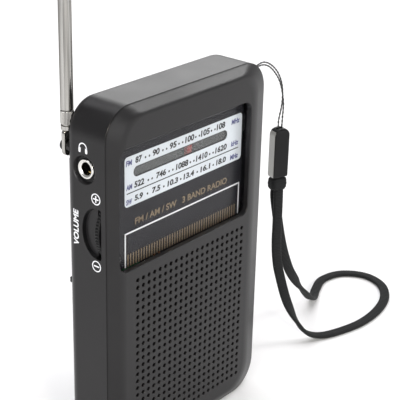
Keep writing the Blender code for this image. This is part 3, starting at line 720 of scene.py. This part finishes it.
def make_rear_case():
    case = solid("rear_case", back_hull_loops())
    inner = HALF_WIDTH - WALL
    inner_back = DEPTH - WALL
    past_back = DEPTH + OVERSHOOT
    upper = rounded(-inner, inner, WALL, 30.0, CORNER_R - WALL)
    lower = rounded(-inner, inner, SHELF_DOWN + 1.6, BAY[2] - 1.4, 2.0)
    beside_bay = rounded(-26.4, 26.4, 60.0, 92.4, 2.0)
    groove = (case_outline(WALL), rounded(-26.3, 26.3, 2.7, HEIGHT - 2.7, 5.3))
    groove_end = LIP_DEPTH + 0.2
    groove_rows = (
        (groove[0], HOLLOW_FROM), (groove[0], groove_end), (groove[1], groove_end), (groove[1], HOLLOW_FROM)
    )
    cut(
        case,
        slab(upper, HOLLOW_FROM, TOP_CAVITY_DEPTH),
        slab(lower, HOLLOW_FROM, inner_back),
        slab(beside_bay, HOLLOW_FROM, 1.95),
        (stack(groove_rows), "ring"),
    )
    for x, down in FRONT_BOSSES:
        join(case, pin(x, down, POST_R, BOSS_END + 0.3, screw_post(down)[0]))
    for x, down in BOARD_SCREWS:
        join(case, pin(x, down, 1.8, BOARD_BACK + 0.15, screw_post(down)[0]))
        cut(case, pin(x, down, SCREW_HOLE_R, BOARD_BACK - 0.5, 10.5, 20))
    join(case, slab(square(-28.0, -24.6, 8.7, 14.3), 11.2, 12.4))
    cover = (-COVER_HALF - COVER_GAP, COVER_HALF + COVER_GAP, COVER_TOP - COVER_GAP, 97.0)
    cut(
        case, slab(square(*BAY), BAY_FRONT, past_back),
        slab(square(*cover), COVER_DEPTH - COVER_GAP, past_back),
        slab(square(-31.0, 31.0, -2.0, SHELF_DOWN), SHELF_DEPTH, past_back),
    )
    join(case, pin(ANTENNA[0], PIVOT_DOWN, 1.3, SHELF_DEPTH - 0.4, 14.55))
    cut(case, pin(ANTENNA[0], PIVOT_DOWN, PIVOT_HOLE_R, 10.5, 15.5, 24))
    for x, down in FRONT_BOSSES:
        cut(
            case, pin(x, down, SCREW_HOLE_R, BOSS_END, DEPTH, 20),
            pin(x, down, SCREW_HEAD_R + 0.2, screw_post(down)[1], past_back),
        )
    for side in (-1, 1):
        cut(case, wheel_slot_loops(side), scoop_loops(side))
    sink = ((0.3, -0.15), (0.1, 0.03), (-0.05, 0.12), (-0.35, 0.9))
    jack_hole = disc(*JACK, 2.5)
    x, down = SWITCH
    reach = SWITCH_HALF + 0.35
    switch_slot = square(x - 1.8, x + 1.8 + SWITCH_TRAVEL, down - reach, down + reach)
    cut(
        case, mirrored(-1, [(disc(*JACK, JACK_SINK_R + more), at) for more, at in sink]),
        mirrored(-1, ((jack_hole, 0.5), (jack_hole, 2.0))),
        slab(switch_slot, inner_back - 1.0, past_back),
    )
    hole = ((1.0, -0.1), (EYELET_R + 0.05, 0.15), (EYELET_R, 0.3), (EYELET_R, 2.5))
    for down in EYELET_DOWNS:
        cut(case, mirrored(1, [(disc(EYELET_DEPTH, down, radius, 24), at) for radius, at in hole]))
    complete(case, CASE, "charcoal_plastic", "rear_shell")
    paint_scoop_wall_shade(case)


def paint_scoop_wall_shade(case):
    """Paints the steep walls of the thumb hollows with the wheels' black plastic: painted shade where the
    hollows fall dark.
    """
    case.data.materials.append(BLACK)
    for face in case.data.polygons:
        x, depth, down = case_place(face.center)
        sunk = 0.04 < HALF_WIDTH - abs(x) < SCOOP_SINK + 0.02
        beside_wheel = abs(down - WHEEL_DOWN) < SLOT_HALF + 0.2
        if sunk and beside_wheel and 2.0 < depth < 12.0 and abs(face.normal.x) < 0.8:
            # the hollow's wall faces take the black material as painted shade
            face.material_index = 1


def make_battery_door():
    door = solid("battery_door", back_hull_loops())
    block = square(-COVER_HALF, COVER_HALF, COVER_TOP, 99.0)
    past_back = DEPTH + OVERSHOOT
    shaped(door, "INTERSECT", solid("cover_block", slab(block, COVER_DEPTH, past_back)))
    for row in range(4):
        down = 73.0 + 1.6 * row
        grip = (-5.0, 5.0, down, down + 0.8)
        top = rounded(*grown(grip, 0.1), 0.4, 4)
        low = rounded(*grown(grip, -0.05), 0.3, 4)
        cut(door, stack(((top, DEPTH + 0.1), (low, DEPTH - 0.5))))
    arrow = [(0.0, 83.4), (2.2, 81.2), (0.8, 81.2), (0.8, 79.8), (-0.8, 79.8), (-0.8, 81.2), (-2.2, 81.2)]
    cut(door, slab(arrow, DEPTH - 0.25, past_back))
    complete(door, CASE, "charcoal_plastic", "battery_cover", body="cover")


# ---------------- window and dial

def letters(words, height, width, slant=0.0, bold=0.0):
    """Lettering as a thin solid mesh, centred on x, standing on y = 0 and facing +z, in metres."""
    curve = bpy.data.curves.new("letters", "FONT")
    curve.body = words
    curve.size = height * MM
    curve.shear = slant
    curve.align_x = "CENTER"
    curve.extrude = INK * MM / 2
    curve.offset = bold * MM
    curve.resolution_u = 6
    holder = linked("letters", curve)
    mesh = evaluated(holder)
    bpy.data.objects.remove(holder)
    xs = [corner.co.x for corner in mesh.vertices]
    ys = [corner.co.y for corner in mesh.vertices]
    tall = height * MM / (max(ys) - min(ys))
    wide = width * MM / (max(xs) - min(xs))
    middle = (max(xs) + min(xs)) / 2
    shift = Matrix.Translation((-middle, -min(ys), 0.0))
    mesh.transform(Matrix.Diagonal((wide, tall, 1.0, 1.0)) @ shift)
    return mesh


FRONT_WAY = Matrix(((1, 0, 0), (0, 0, -1), (0, 1, 0))).to_4x4()
LEFT_WALL_UP = Matrix(((0, 0, -1), (0, 1, 0), (1, 0, 0))).to_4x4()


def print_on(name, marks, material, slot):
    """One piece of printing, from meshes each with the matrix that lays it on its surface, and from
    solids given as loops."""
    work = bmesh.new()
    for mark in marks:
        if isinstance(mark, tuple):
            mesh, lay = mark
            mesh.transform(lay)
            work.from_mesh(mesh)
            bpy.data.meshes.remove(mesh)
        else:
            add_loops(work, mark)
    bmesh.ops.remove_doubles(work, verts=work.verts, dist=1e-7)
    dress(finished(name, work), material, slot)


def on_dial(x, down):
    """The matrix that lays a flat mesh on the dial face."""
    return Matrix.Translation(place(x, INK_DEPTH, down)) @ FRONT_WAY


def printed_slab(outline):
    """A printed mark on the dial face, as loops."""
    return slab(outline, INK_DEPTH - INK / 2, INK_DEPTH + INK / 2)


def scale_rows():
    """The rows of numbers: baseline, figure height, dots between two numbers, and the numbers."""
    return (
        (15.35, 1.6, 2, (
            ("87", -16.9, 2.35), ("90", -10.87, 2.45), ("95", -4.82, 2.45), ("100", 1.26, 3.4),
            ("105", 7.18, 3.4), ("108", 13.27, 3.4),
        )),
        (21.4, 1.6, 2, (
            ("522", -16.73, 3.4), ("746", -9.05, 3.5), ("1088", -1.4, 4.6), ("1410", 6.03, 4.5),
            ("1620", 13.56, 4.6),
        )),
        (24.75, 1.5, 1, (
            ("5.9", -16.88, 2.9), ("7.5", -10.77, 2.9), ("10.3", -4.79, 3.9), ("13.4", 1.2, 4.0),
            ("16.1", 7.54, 3.9), ("18.0", 13.72, 3.9),
        )),
    )


def make_scale_print():
    marks = []
    for baseline, height, dots, numbers in scale_rows():
        for words, x, width in numbers:
            marks.append((letters(words, height, width, 0.08, 0.06), on_dial(x, baseline)))
        for (_, x0, width0), (_, x1, width1) in zip(numbers, numbers[1:]):
            gap = (x0 + width0 / 2 + x1 - width1 / 2) / 2
            for number in range(dots):
                x = gap + (number - (dots - 1) / 2) * 1.35
                marks.append(printed_slab(disc(x, baseline - 0.55, 0.28, 16)))
    marks.append(printed_slab(rounded(-21.0, 20.6, 22.08, 22.34, 0.08, 3)))
    print_on("scale_numbers", marks, BLACK_INK, "printed_dial")
    labels = (
        ("FM", -20.2, 15.35, 2.1), ("AM", -20.15, 21.35, 2.1), ("SW", -20.15, 25.05, 2.1),
        ("MHz", 19.15, 15.45, 3.3), ("kHz", 19.1, 21.35, 3.0), ("MHz", 19.0, 24.95, 3.3),
    )
    marks = [
        (letters(words, 1.35, width, 0.12, 0.05), on_dial(x, down))
        for words, x, down, width in labels
    ]
    print_on("band_labels", marks, BLUE_INK, "printed_dial")


def make_window_print():
    """The white frame line, and the gold line of text and ticks, below the scale."""
    left, right, top, low = -21.75, 21.6, 32.1, 41.0
    line = 0.42
    sides = (
        (left, right, top, top + line), (left, left + line, top + 0.15, low),
        (right - line, right, top + 0.15, low),
    )
    marks = [printed_slab(rounded(*side, 0.1, 3)) for side in sides]
    print_on("frame_line", marks, WHITE_INK, "printed_dial")
    text = letters("FM / AM / SW   3 BAND RADIO", 1.7, 34.5, 0.0, 0.035)
    marks = [(text, on_dial(-0.9, 30.85))]
    for number in range(TICKS):
        x = -20.6 + 0.94 * number
        marks.append(printed_slab(rounded(x - 0.17, x + 0.17, 37.8, low, 0.08, 3)))
    print_on("gold_print", marks, GOLD_INK, "printed_dial")


def make_dial():
    lens = rounded(WINDOW[0] - 0.3, WINDOW[1] + 0.3, WINDOW[2] - 0.3, WINDOW[3] + 0.4, WINDOW_R)
    pane = solid("window_pane", slab(lens, *LENS_DEPTH))
    complete(pane, CLEAR, "clear_acrylic", "window_lens")
    half = (CHANNEL[3] - CHANNEL[2]) / 2
    channel = rounded(*CHANNEL, half - 0.01)
    face = solid("dial_face", slab(lens, *DIAL_DEPTH))
    cut(face, slab(channel, 2.0, 4.0))
    complete(face, PANEL, "printed_dial", "dial_plate")
    card = rounded(-21.65, 21.85, 13.1, 25.6, 1.0)
    scale = solid("scale_panel", slab(card, DIAL_DEPTH[0] - 0.06, DIAL_DEPTH[0] - 0.01))
    cut(scale, slab(channel, 2.0, 4.0))
    complete(scale, SCALE, "printed_dial")
    # a black line round the channel's edge: a painted shadow line
    rim = rounded(*grown(CHANNEL, 0.06), half + 0.04)
    inner = rounded(*grown(CHANNEL, -0.12), half - 0.13)
    line = (printed_slab(rim) + printed_slab(inner)[::-1], "ring")
    complete(solid("channel_shadow_line", line), BLACK_INK, "printed_dial")
    film = solid("channel_film", slab(rounded(*grown(CHANNEL, -0.03), half - 0.04), 2.8, 2.9))
    complete(film, FROST, "grey_plastic")
    make_scale_print()
    make_window_print()
    flag = rounded(POINTER_X - POINTER_HALF, POINTER_X + POINTER_HALF, 13.0, 20.0, 0.3, 4)
    pointer = solid("pointer_flag", slab(flag, 3.5, 4.2))
    hook = square(POINTER_X - 0.8, POINTER_X + 0.8, 13.0, 13.6)
    join(pointer, slab(hook, 3.9, 5.3))
    complete(pointer, POINTER, "red_pointer", "dial_pointer", body="pointer")


# ---------------- left wall

def left_wall_slab(outline):
    """A printed mark on the left wall, from an outline in (depth, down), as loops."""
    return slab(outline, -HALF_WIDTH + PRINT_SINK, -HALF_WIDTH - INK, "x")


def left_wall_ring(centre, inner, outer):
    """A printed ring on the left wall, as loops."""
    low, high = -HALF_WIDTH - INK, -HALF_WIDTH + PRINT_SINK
    profile = ((inner, low), (outer, low), (outer, high), (inner, high))
    return turned(centre, profile, 36, "x")


def make_left_print():
    """Headphones over the jack, plus and minus at the wheel's ends, and the word beside it."""
    head, head_inner, head_outer = (8.62, 10.1), 1.04, 1.32
    hoop = arc(head, head_outer, 180, 360, 20) + arc(head, head_inner, 360, 180, 20)
    outlines = [hoop]
    for side in (-1, 1):
        ear = head[0] + side * head_inner
        outlines.append(rounded(ear - 0.33, ear + 0.33, 9.95, 11.25, 0.28, 5))
    half, thin = 0.85, 0.17
    for depth, down in (PLUS_AT, MINUS_AT):
        outlines.append(rounded(depth - half, depth + half, down - thin, down + thin, 0.1, 3))
        if (depth, down) == PLUS_AT:
            for low, high in ((down - half, down - 0.19), (down + 0.19, down + half)):
                outlines.append(rounded(depth - thin, depth + thin, low, high, 0.1, 3))
    marks = [left_wall_slab(outline) for outline in outlines]
    word = letters("VOLUME", 1.65, 9.0, 0.1, 0.05)
    lay = Matrix.Translation(Vector((-(HALF_WIDTH + INK / 2) * MM, *place(0.0, 10.45, 30.35).yz)))
    marks.append((word, lay @ LEFT_WALL_UP))
    print_on("wall_print", marks, WHITE_INK, "charcoal_plastic")
    for name, centre in (("plus_ring", PLUS_AT), ("minus_ring", MINUS_AT)):
        ring = solid(name, (left_wall_ring(centre, 1.16, 1.42), "ring"))
        complete(ring, WHITE_INK, "charcoal_plastic")


def make_jack():
    body = rounded(5.9, 10.9, 12.3, 18.3, 0.5, 4)
    jack = solid("headphone_socket", slab(body, -27.2, -14.5, "x"))
    cut(jack, slab(disc(*JACK, JACK_HOLE_R), -28.0, -16.5, "x"))
    complete(jack, BLACK, "black_plastic", "headphone_jack")
    low, high = -HALF_WIDTH + 0.46, -27.4
    profile = (
        (JACK_HOLE_R - 0.1, high), (JACK_HOLE_R - 0.25, low + 0.5), (JACK_HOLE_R - 0.2, low + 0.3),
        (JACK_HOLE_R + 0.1, low + 0.04), (JACK_HOLE_R + 0.2, low), (JACK_RING_R - 0.12, low),
        (JACK_RING_R, low + 0.15), (JACK_RING_R, high),
    )
    ring = solid("jack_collar", (turned(JACK, profile, 64, "x"), "ring"))
    complete(ring, NICKEL, "plated_steel", "jack_ring")
    floor = -HALF_WIDTH + 0.9
    washer = ((2.5, floor + 0.3), (2.5, floor - 0.05), (3.0, floor - 0.05), (3.05, floor + 0.3))
    nut = solid("jack_washer", (turned(JACK, washer, 48, "x"), "ring"))
    complete(nut, BLACK, "black_plastic")
    leaf = square(JACK[0] - 0.7, JACK[0] + 0.7, JACK[1] + 1.0, JACK[1] + 1.35)
    spring = solid("jack_contact", slab(leaf, -27.0, -17.5, "x"))
    complete(spring, BRASS, "plated_steel")


# ---------------- wheels and band switch

def make_wheels():
    low, high = WHEEL_DEPTH
    for name, node, side, hub, body in (
        ("volume_thumbwheel", "volume_wheel", -1, 3.0, "volume"),
        ("tuning_thumbwheel", "tuning_wheel", 1, DRUM_R, "tuning"),
    ):
        profile = (
            (WHEEL_R - 0.6, low, 0.0), (WHEEL_R - 0.25, low + 0.04, 0.05), (WHEEL_R, low + 0.25, 0.16),
            (WHEEL_R, high - 0.25, 0.16), (WHEEL_R - 0.25, high - 0.04, 0.05),
            (WHEEL_R - 0.6, high, 0.0), (hub, high, 0.0), (hub, 5.25, 0.0), (1.5, 5.25, 0.0),
            (1.5, BOARD_BACK + 0.1, 0.0),
        )
        rows = [
            (disc(side * WHEEL_X, WHEEL_DOWN, radius, 480, rib, 80), depth)
            for radius, depth, rib in profile
        ]
        complete(solid(name, stack(rows)), BLACK, "black_plastic", node, body=body)


def make_band_knob():
    x, down = SWITCH
    ends = (x - 1.5, x + 1.5, down - SWITCH_HALF, down + SWITCH_HALF)
    rows = ((0.0, 0.25, 12.3), (0.0, 0.25, 16.6), (-0.06, 0.25, 16.75), (-0.2, 0.2, 16.85))
    rows = [(rounded(*grown(ends, by), radius, 6), depth) for by, radius, depth in rows]
    knob = solid("band_knob", stack(rows))
    for step in range(3):
        middle = x + (step - 1) * 0.8
        groove = square(middle - 0.13, middle + 0.13, down - 1.0, down + 1.0)
        cut(knob, slab(groove, 16.6, 17.5))
    complete(knob, BLACK, "black_plastic", "band_switch_knob", body="band")


# ---------------- back print

def make_back_print():
    """The switch's three places, on the back."""
    x, down = SWITCH
    back_way = Matrix(((-1, 0, 0), (0, 0, 1), (0, 1, 0))).to_4x4()
    marks = []
    for number, words in enumerate(("FM", "AM", "SW")):
        lay = Matrix.Translation(place(x + number * SWITCH_TRAVEL / 2, DEPTH + INK / 2, down + 3.6))
        marks.append((letters(words, 1.1, 1.9), lay @ back_way))
    print_on("switch_print", marks, WHITE_INK, "charcoal_plastic")


# ---------------- antenna and screws

def screw(name, node, x, down, depths, head_r, material, slot):
    """A pan-head screw with a cross recess. depths are the head's two ends and the tip."""
    head_from, head_to, tip = depths
    profile = (
        (head_r * 0.55, head_to), (head_r * 0.82, head_to - 0.06), (head_r * 0.96, head_to - 0.2),
        (head_r, head_to - 0.35), (head_r, head_from), (SCREW_R, head_from), (SCREW_R, tip + 0.5),
        (SCREW_R * 0.3, tip),
    )
    made = solid(name, turned((x, down), profile))
    for a, b in ((head_r * 0.55, 0.16), (0.16, head_r * 0.55)):
        recess = rounded(x - a, x + a, down - b, down + b, 0.1, 3)
        cut(made, slab(recess, head_to - 0.4, head_to + OVERSHOOT))
    complete(made, material, slot, node)


def make_screws():
    for number, (x, down) in enumerate(FRONT_BOSSES):
        floor = screw_post(down)[1]
        names = (f"back_screw_{number + 1}", f"case_screw_{number + 1}")
        screw(*names, x, down, (floor + 0.1, floor + 0.8, 3.2), SCREW_HEAD_R, STEEL, "plated_steel")
    tip, head_to = node_spans("antenna_screw")[1]
    screw(
        "swivel_screw", "antenna_screw", ANTENNA[0], PIVOT_DOWN, (head_to - 0.8, head_to, tip),
        1.45, BLACK, "black_plastic",
    )


def make_antenna():
    x, depth = ANTENNA
    blade = rounded(x - 1.5, x + 1.5, 7.2, 13.9, 1.45, 16)
    soft = rounded(x - 1.42, x + 1.42, 7.28, 13.82, 1.38, 16)
    rows = ((soft, depth - 0.5), (blade, depth - 0.42), (blade, depth + 0.42), (soft, depth + 0.5))
    base = solid("swivel_base", stack(rows))
    cut(base, pin(x, PIVOT_DOWN, PIVOT_HOLE_R, depth - 1.5, depth + 1.5))
    neck = ((1.3, 7.7), (1.5, 7.5), (1.5, 6.6), (1.2, 6.5), (1.2, 6.1))
    join(base, turned(ANTENNA, neck, 48, "down"))
    complete(base, CHROME_PAINTED_STREAKS, "chrome", "antenna_base", body="antenna")
    profile = (
        (1.3, 6.3, 0.0), (1.5, 6.2, 0.0), (COLLAR_R, 6.0, 0.12), (COLLAR_R, 3.25, 0.12),
        (1.52, 3.05, 0.0), (1.4, 2.9, 0.0), (1.32, 2.85, 0.0),
    )
    rows = [(disc(*ANTENNA, radius, 160, rib, 32), down) for radius, down, rib in profile]
    complete(solid("antenna_collar", stack(rows, "down")), CHROME_PAINTED_STREAKS, "chrome", body="antenna")
    bodies = ("antenna", "antenna_middle", "antenna_upper")
    for number, (outer, bore) in enumerate(zip(SECTION_R, SECTION_BORE_R)):
        node = f"antenna_section_{number + 1}"
        top, bottom = node_spans(node)[2]
        profile = (
            (bore, bottom), (bore, top + 0.1), (bore + 0.05, top), (outer - 0.12, top),
            (outer - 0.03, top + 0.05), (outer, top + 0.16), (outer, bottom),
        )
        tube = solid(f"antenna_tube_{number + 1}", (turned(ANTENNA, profile, 64, "down"), "ring"))
        complete(tube, CHROME_PAINTED_STREAKS, "chrome", node, body=bodies[number])
    top, bottom = node_spans("antenna_tip")[2]
    shoulder = top + TIP_LENGTH
    rod = SECTION_R[3]
    cap = SECTION_R[0]
    profile = (
        (rod, bottom), (rod, shoulder), (cap - 0.2, shoulder), (cap - 0.05, shoulder - 0.08),
        (cap, shoulder - 0.25), (cap, top + 0.6), (cap - 0.1, top + 0.3), (cap - 0.45, top + 0.08),
        (0.4, top),
    )
    tip = solid("antenna_cap", turned(ANTENNA, profile, 64, "down"))
    complete(tip, CHROME_PAINTED_STREAKS, "chrome", "antenna_tip", body="antenna_rod")


# ---------------- wrist strap

def bead_point(wide, deep, down):
    """A point of the bead, from how far it lies across and behind the bead's middle."""
    x = BEAD[0] + wide * cos(BEAD_TURN) - deep * sin(BEAD_TURN)
    depth = BEAD[1] + wide * sin(BEAD_TURN) + deep * cos(BEAD_TURN)
    return (x, depth, down)


def bead_ring(half_wide, half_deep, down, radius, steps=8):
    """A rounded rectangle across the strap, turned with the bead."""
    outline = rounded(-half_wide, half_wide, -half_deep, half_deep, radius, steps)
    return [bead_point(wide, deep, down) for wide, deep in outline]


def string_route():
    """Out of the upper eyelet hole, over to the bead, round inside it and back to the lower hole."""
    half_loop = ((0.6, 23.0), (0.6, 26.0), (1.3, 28.6), (0.85, 30.2))
    return [
        (26.3, EYELET_DEPTH, 10.0), (26.8, EYELET_DEPTH, EYELET_DOWNS[0] + 0.1),
        (28.0, EYELET_DEPTH, EYELET_DOWNS[0]), (29.5, EYELET_DEPTH, EYELET_DOWNS[0] - 0.1),
        (30.9, 7.8, 7.2), (32.6, 7.7, 5.2), (36.3, 7.6, 4.3), (39.8, 7.5, 5.7), (43.2, 7.5, 8.7),
        (45.6, 7.6, 13.0), (46.2, 7.8, 18.0),
        *[bead_point(-wide, 0.0, down) for wide, down in half_loop],
        bead_point(0.0, 0.0, 30.7),
        *[bead_point(wide, 0.0, down) for wide, down in half_loop[::-1]],
        (47.5, 8.3, 18.0), (46.1, 8.7, 12.4), (43.0, 8.8, 8.4),
        (39.6, 8.8, 6.1), (36.2, 8.8, 5.6), (33.4, 8.7, 7.0), (31.2, 8.3, 10.2),
        (29.6, EYELET_DEPTH, EYELET_DOWNS[1] - 0.1), (28.0, EYELET_DEPTH, EYELET_DOWNS[1]),
        (26.8, EYELET_DEPTH, EYELET_DOWNS[1] - 0.1), (26.3, EYELET_DEPTH, 11.3),
    ]


def ribbon_route():
    """Down from the sleeve, round on the table and back up to the sleeve."""
    lying = HEIGHT - RIBBON_R - 0.05
    return [
        bead_point(-0.1, -0.9, 43.4), bead_point(0.0, -0.9, 46.6), (46.2, 7.3, 53.6), (46.3, 7.3, 60.0),
        (46.7, 7.0, 65.5), (47.6, 6.5, 70.2), (49.9, 5.2, 79.0), (53.1, 3.5, 86.5), (56.4, 2.1, 91.4),
        (60.8, 0.2, 93.8), (66.5, -2.2, lying), (76.0, -4.6, lying), (86.0, -4.4, lying),
        (95.5, -1.6, lying), (102.5, 4.0, lying), (104.6, 11.6, lying), (100.6, 18.4, lying),
        (92.8, 20.6, lying), (85.4, 18.2, lying - 0.1), (80.0, 15.4, 93.5), (75.4, 13.6, 91.6),
        (69.0, 12.2, 85.9), (59.9, 10.8, 76.2), (55.6, 10.1, 69.8), (51.9, 9.4, 62.7),
        (48.9, 8.9, 54.8), bead_point(0.2, 0.9, 46.6), bead_point(0.1, 0.9, 43.4),
    ]


def sweep(name, points, section, facing):
    """A closed tube through case points. section(distance) gives the outline of (across, out) there,
    and facing(point) the direction that its out side looks to, in case axes."""
    rows = []
    reach = 0.0
    line = [Vector(point) for point in points]
    for index, point in enumerate(line):
        before = line[max(0, index - 1)]
        after = line[min(len(line) - 1, index + 1)]
        along = (after - before).normalized()
        out = facing(point)
        out = (out - along * out.dot(along)).normalized()
        across = along.cross(out)
        rows.append([tuple(point + across * a + out * b) for a, b in section(reach)])
        if index + 1 < len(line):
            reach += (line[index + 1] - point).length
    return solid(name, rows)


def string_section(reach):
    """Two strands laid round each other, as one waisted outline that turns along the string."""
    outline = []
    turn = 2 * pi * reach / STRING_LAY
    for step in range(16):
        angle = 2 * pi * step / 16
        radius = STRING_R * (0.78 + 0.22 * cos(2 * (angle - turn)))
        outline.append((radius * cos(angle), radius * sin(angle)))
    return outline


def ribbon_section(reach):
    """A flat band with round edges and low cross ribs."""
    rib = RIBBON_RIB * cos(2 * pi * reach / RIBBON_RIB_PITCH)
    half_wide = RIBBON_WIDTH / 2 - abs(rib) * 0.4
    half_thick = RIBBON_THICK / 2 - RIBBON_RIB + rib
    return rounded(-half_wide, half_wide, -half_thick, half_thick, half_thick * 0.85, 3)


def string_facing(_point):
    """The string's outlines all start from one side."""
    return Vector((0.12, -1.0, 0.1))


def ribbon_facing(point):
    """The ribbon's face looks forward while it hangs, and up where it lies."""
    hanging = Vector((sin(BEAD_TURN), -cos(BEAD_TURN), 0.0))
    lying = Vector((0.0, 0.0, -1.0))
    turn_from = 72.0
    share = min(1.0, max(0.0, (point.z - turn_from) / (HEIGHT - 4.0 - turn_from)))
    share = share * share * (3 - 2 * share)
    return hanging.lerp(lying, share)


def bead_arch():
    """The clamp from its domed top to its flat end: the sides curve in, the faces stay broad."""
    rows = []
    for step in range(9):
        angle = radians(12 + 78 * step / 8)
        half_wide = 0.25 + 2.2 * sin(angle)
        half_deep = 1.15 + 0.42 * min(1.0, 1.5 * sin(angle))
        rows.append(bead_ring(half_wide, half_deep, 27.3 - 2.1 * cos(angle), 0.42))
    for half_wide, half_deep, down in (
        (2.45, 1.57, 30.0), (2.45, 1.57, 38.7), (2.42, 1.55, 39.2), (2.3, 1.45, 39.42), (2.1, 1.3, 39.5)
    ):
        rows.append(bead_ring(half_wide, half_deep, down, 0.42))
    return rows


def make_strap():
    clamp = solid("clamp", bead_arch())
    bore = ((1.15, 0.6, 24.0), (1.15, 0.6, 26.8), (2.0, 0.65, 28.2), (2.0, 0.65, 31.6))
    cut(clamp, [bead_ring(*size, 0.5) for size in bore])
    complete(clamp, BLACK, "black_plastic", "strap_clamp")
    # the clamp's faces that look left take the pale material: a painted reflection on that side
    clamp.data.materials.append(PAINTED_SIDE_REFLECTION)
    across = Vector((cos(BEAD_TURN), sin(BEAD_TURN), 0.0))
    for face in clamp.data.polygons:
        if face.normal.dot(across) < -0.8:
            face.material_index = 1
    profile = ((1.9, 1.2, 39.8), (2.25, 1.5, 40.0), (2.5, 1.7, 40.6), (2.5, 1.7, 42.3),
               (2.35, 1.62, 42.9), (2.05, 1.5, 43.2), (1.85, 1.4, 43.3))
    rows = []
    for first, last in zip(profile, profile[1:]):
        for step in range(4):
            half_wide, half_deep, down = (a + (b - a) * step / 4 for a, b in zip(first, last))
            rib = 0.05 * cos(2 * pi * down / 0.6)
            rows.append(bead_ring(half_wide + rib, half_deep + rib, down, 1.1))
    sleeve = solid("sleeve", rows)
    complete(sleeve, THREAD, "black_thread", "strap_sleeve", sharp=SOFT_ANGLE)
    points = smooth_route(string_route(), 0.25)
    string = sweep("string", points, string_section, string_facing)
    complete(string, NYLON, "black_thread", "strap_string", sharp=SOFT_ANGLE)
    points = smooth_route(ribbon_route(), RIBBON_RIB_PITCH / 4)
    ribbon = sweep("ribbon", points, ribbon_section, ribbon_facing)
    complete(ribbon, THREAD, "black_thread", "strap_ribbon", sharp=SOFT_ANGLE)


# ---------------- pieces kept from the frame

KEPT = (
    (("circuit_board",), BOARD),
    (("radio_chip", "audio_chip"), EPOXY),
    (("crystal", "board_screw_1", "board_screw_2", "speaker_frame", "speaker_magnet"), STEEL),
    (("band_switch", "contact_left", "contact_right", "battery_spring_1", "battery_spring_2"), STEEL),
    (("capacitor_1", "capacitor_2", "battery_1", "battery_2"), JACKET),
    (("ferrite_rod",), FERRITE),
    (("aerial_coil", "speaker_wire_1", "speaker_wire_2"), COPPER),
    (("speaker_cone",), PAPER),
    (("pointer_rail", "volume_control", "tuning_control"), GREY),
    (("dial_cord",), THREAD),
)


def dress_kept():
    """Gives the frame's own inner pieces their materials and smooth round sides."""
    for names, material in KEPT:
        for name in names:
            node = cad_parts[name]
            node.data.materials.clear()
            node.data.materials.append(material)
            for face in node.data.polygons:
                face.use_smooth = True
            weld = node.modifiers.new("weld", "WELD")
            weld.merge_threshold = 1e-6
            split = node.modifiers.new("sharp_edges", "EDGE_SPLIT")
            split.split_angle = radians(32)


# ---------------- camera, light and floor

def make_camera():
    """The photograph's viewing angle."""
    azimuth = radians(CAMERA_AZIMUTH)
    elevation = radians(CAMERA_ELEVATION)
    flat = cos(elevation)
    back = Vector((sin(azimuth) * flat, -cos(azimuth) * flat, sin(elevation)))
    data = bpy.data.cameras.new("camera")
    data.lens = CAMERA_LENS
    data.sensor_width = 36.0
    data.clip_start = 0.01
    camera = linked("camera", data)
    target = Vector(CAMERA_TARGET) * MM
    camera.location = target + back * CAMERA_DISTANCE
    roll = Matrix.Rotation(radians(CAMERA_ROLL), 3, "Z")
    camera.rotation_euler = ((-back).to_track_quat("-Z", "Y").to_matrix() @ roll).to_euler()
    bpy.context.scene.camera = camera


def soft_light(name, at, size, power, colour=(1.0, 1.0, 1.0)):
    """A square area light at a place in metres, which looks at the radio's middle."""
    data = bpy.data.lights.new(name, "AREA")
    data.shape = "SQUARE"
    data.size = size
    data.energy = power
    data.color = colour
    lamp = linked(name, data)
    lamp.location = at
    lamp.rotation_euler = (Vector(LIGHT_AIM) - Vector(at)).to_track_quat("-Z", "Y").to_euler()


def make_studio():
    """White all round for the camera, and soft lights over a pale floor."""
    scene = bpy.context.scene
    scene.view_settings.view_transform = "Standard"
    world = bpy.data.worlds.new("studio")
    world.use_nodes = True
    tree = world.node_tree
    seen = shader_node(tree, "LightPath").outputs["Is Camera Ray"]
    glow = shader_node(tree, "MapRange", value=seen, to_min=0.35, to_max=1.0).outputs["Result"]
    fill(tree, tree.nodes["Background"], color=(1.0, 1.0, 1.0, 1.0), strength=glow)
    scene.world = world
    soft_light("top_light", (0.15, 0.15, 1.2), 1.4, 12.0, (0.98, 0.97, 1.0))
    soft_light("back_light", (0.75, 0.6, 0.5), 0.5, 1.8)
    soft_light("front_light", (0.12, -0.8, 0.05), 0.3, 0.9)
    soft_light("right_light", (0.8, -0.05, 0.06), 0.3, 0.1)
    soft_light("key_light", (0.78, -0.62, 0.46), 0.3, 3.7)
    soft_light("left_light", (-0.9, -0.3, 0.35), 0.5, 6.0)
    soft_light("warm_light", (-0.5, -0.84, 0.4), 0.12, 2.6, (1.0, 0.92, 0.8))
    work = bmesh.new()
    cells = 12
    ends = [-FLOOR_HALF + 2 * FLOOR_HALF * a / cells for a in range(cells + 1)]
    corners = [[work.verts.new((x, y, 0.0)) for y in ends] for x in ends]
    for a in range(cells):
        for b in range(cells):
            work.faces.new((corners[a][b], corners[a + 1][b], corners[a + 1][b + 1], corners[a][b + 1]))
    floor = finished("floor", work)
    floor.data.materials.append(FLOOR)


make_camera()
make_studio()
make_strap()
make_front_case()
make_cloth()
make_rear_case()
make_battery_door()
make_dial()
make_left_print()
make_jack()
make_wheels()
make_band_knob()
make_back_print()
make_screws()
make_antenna()
dress_kept()
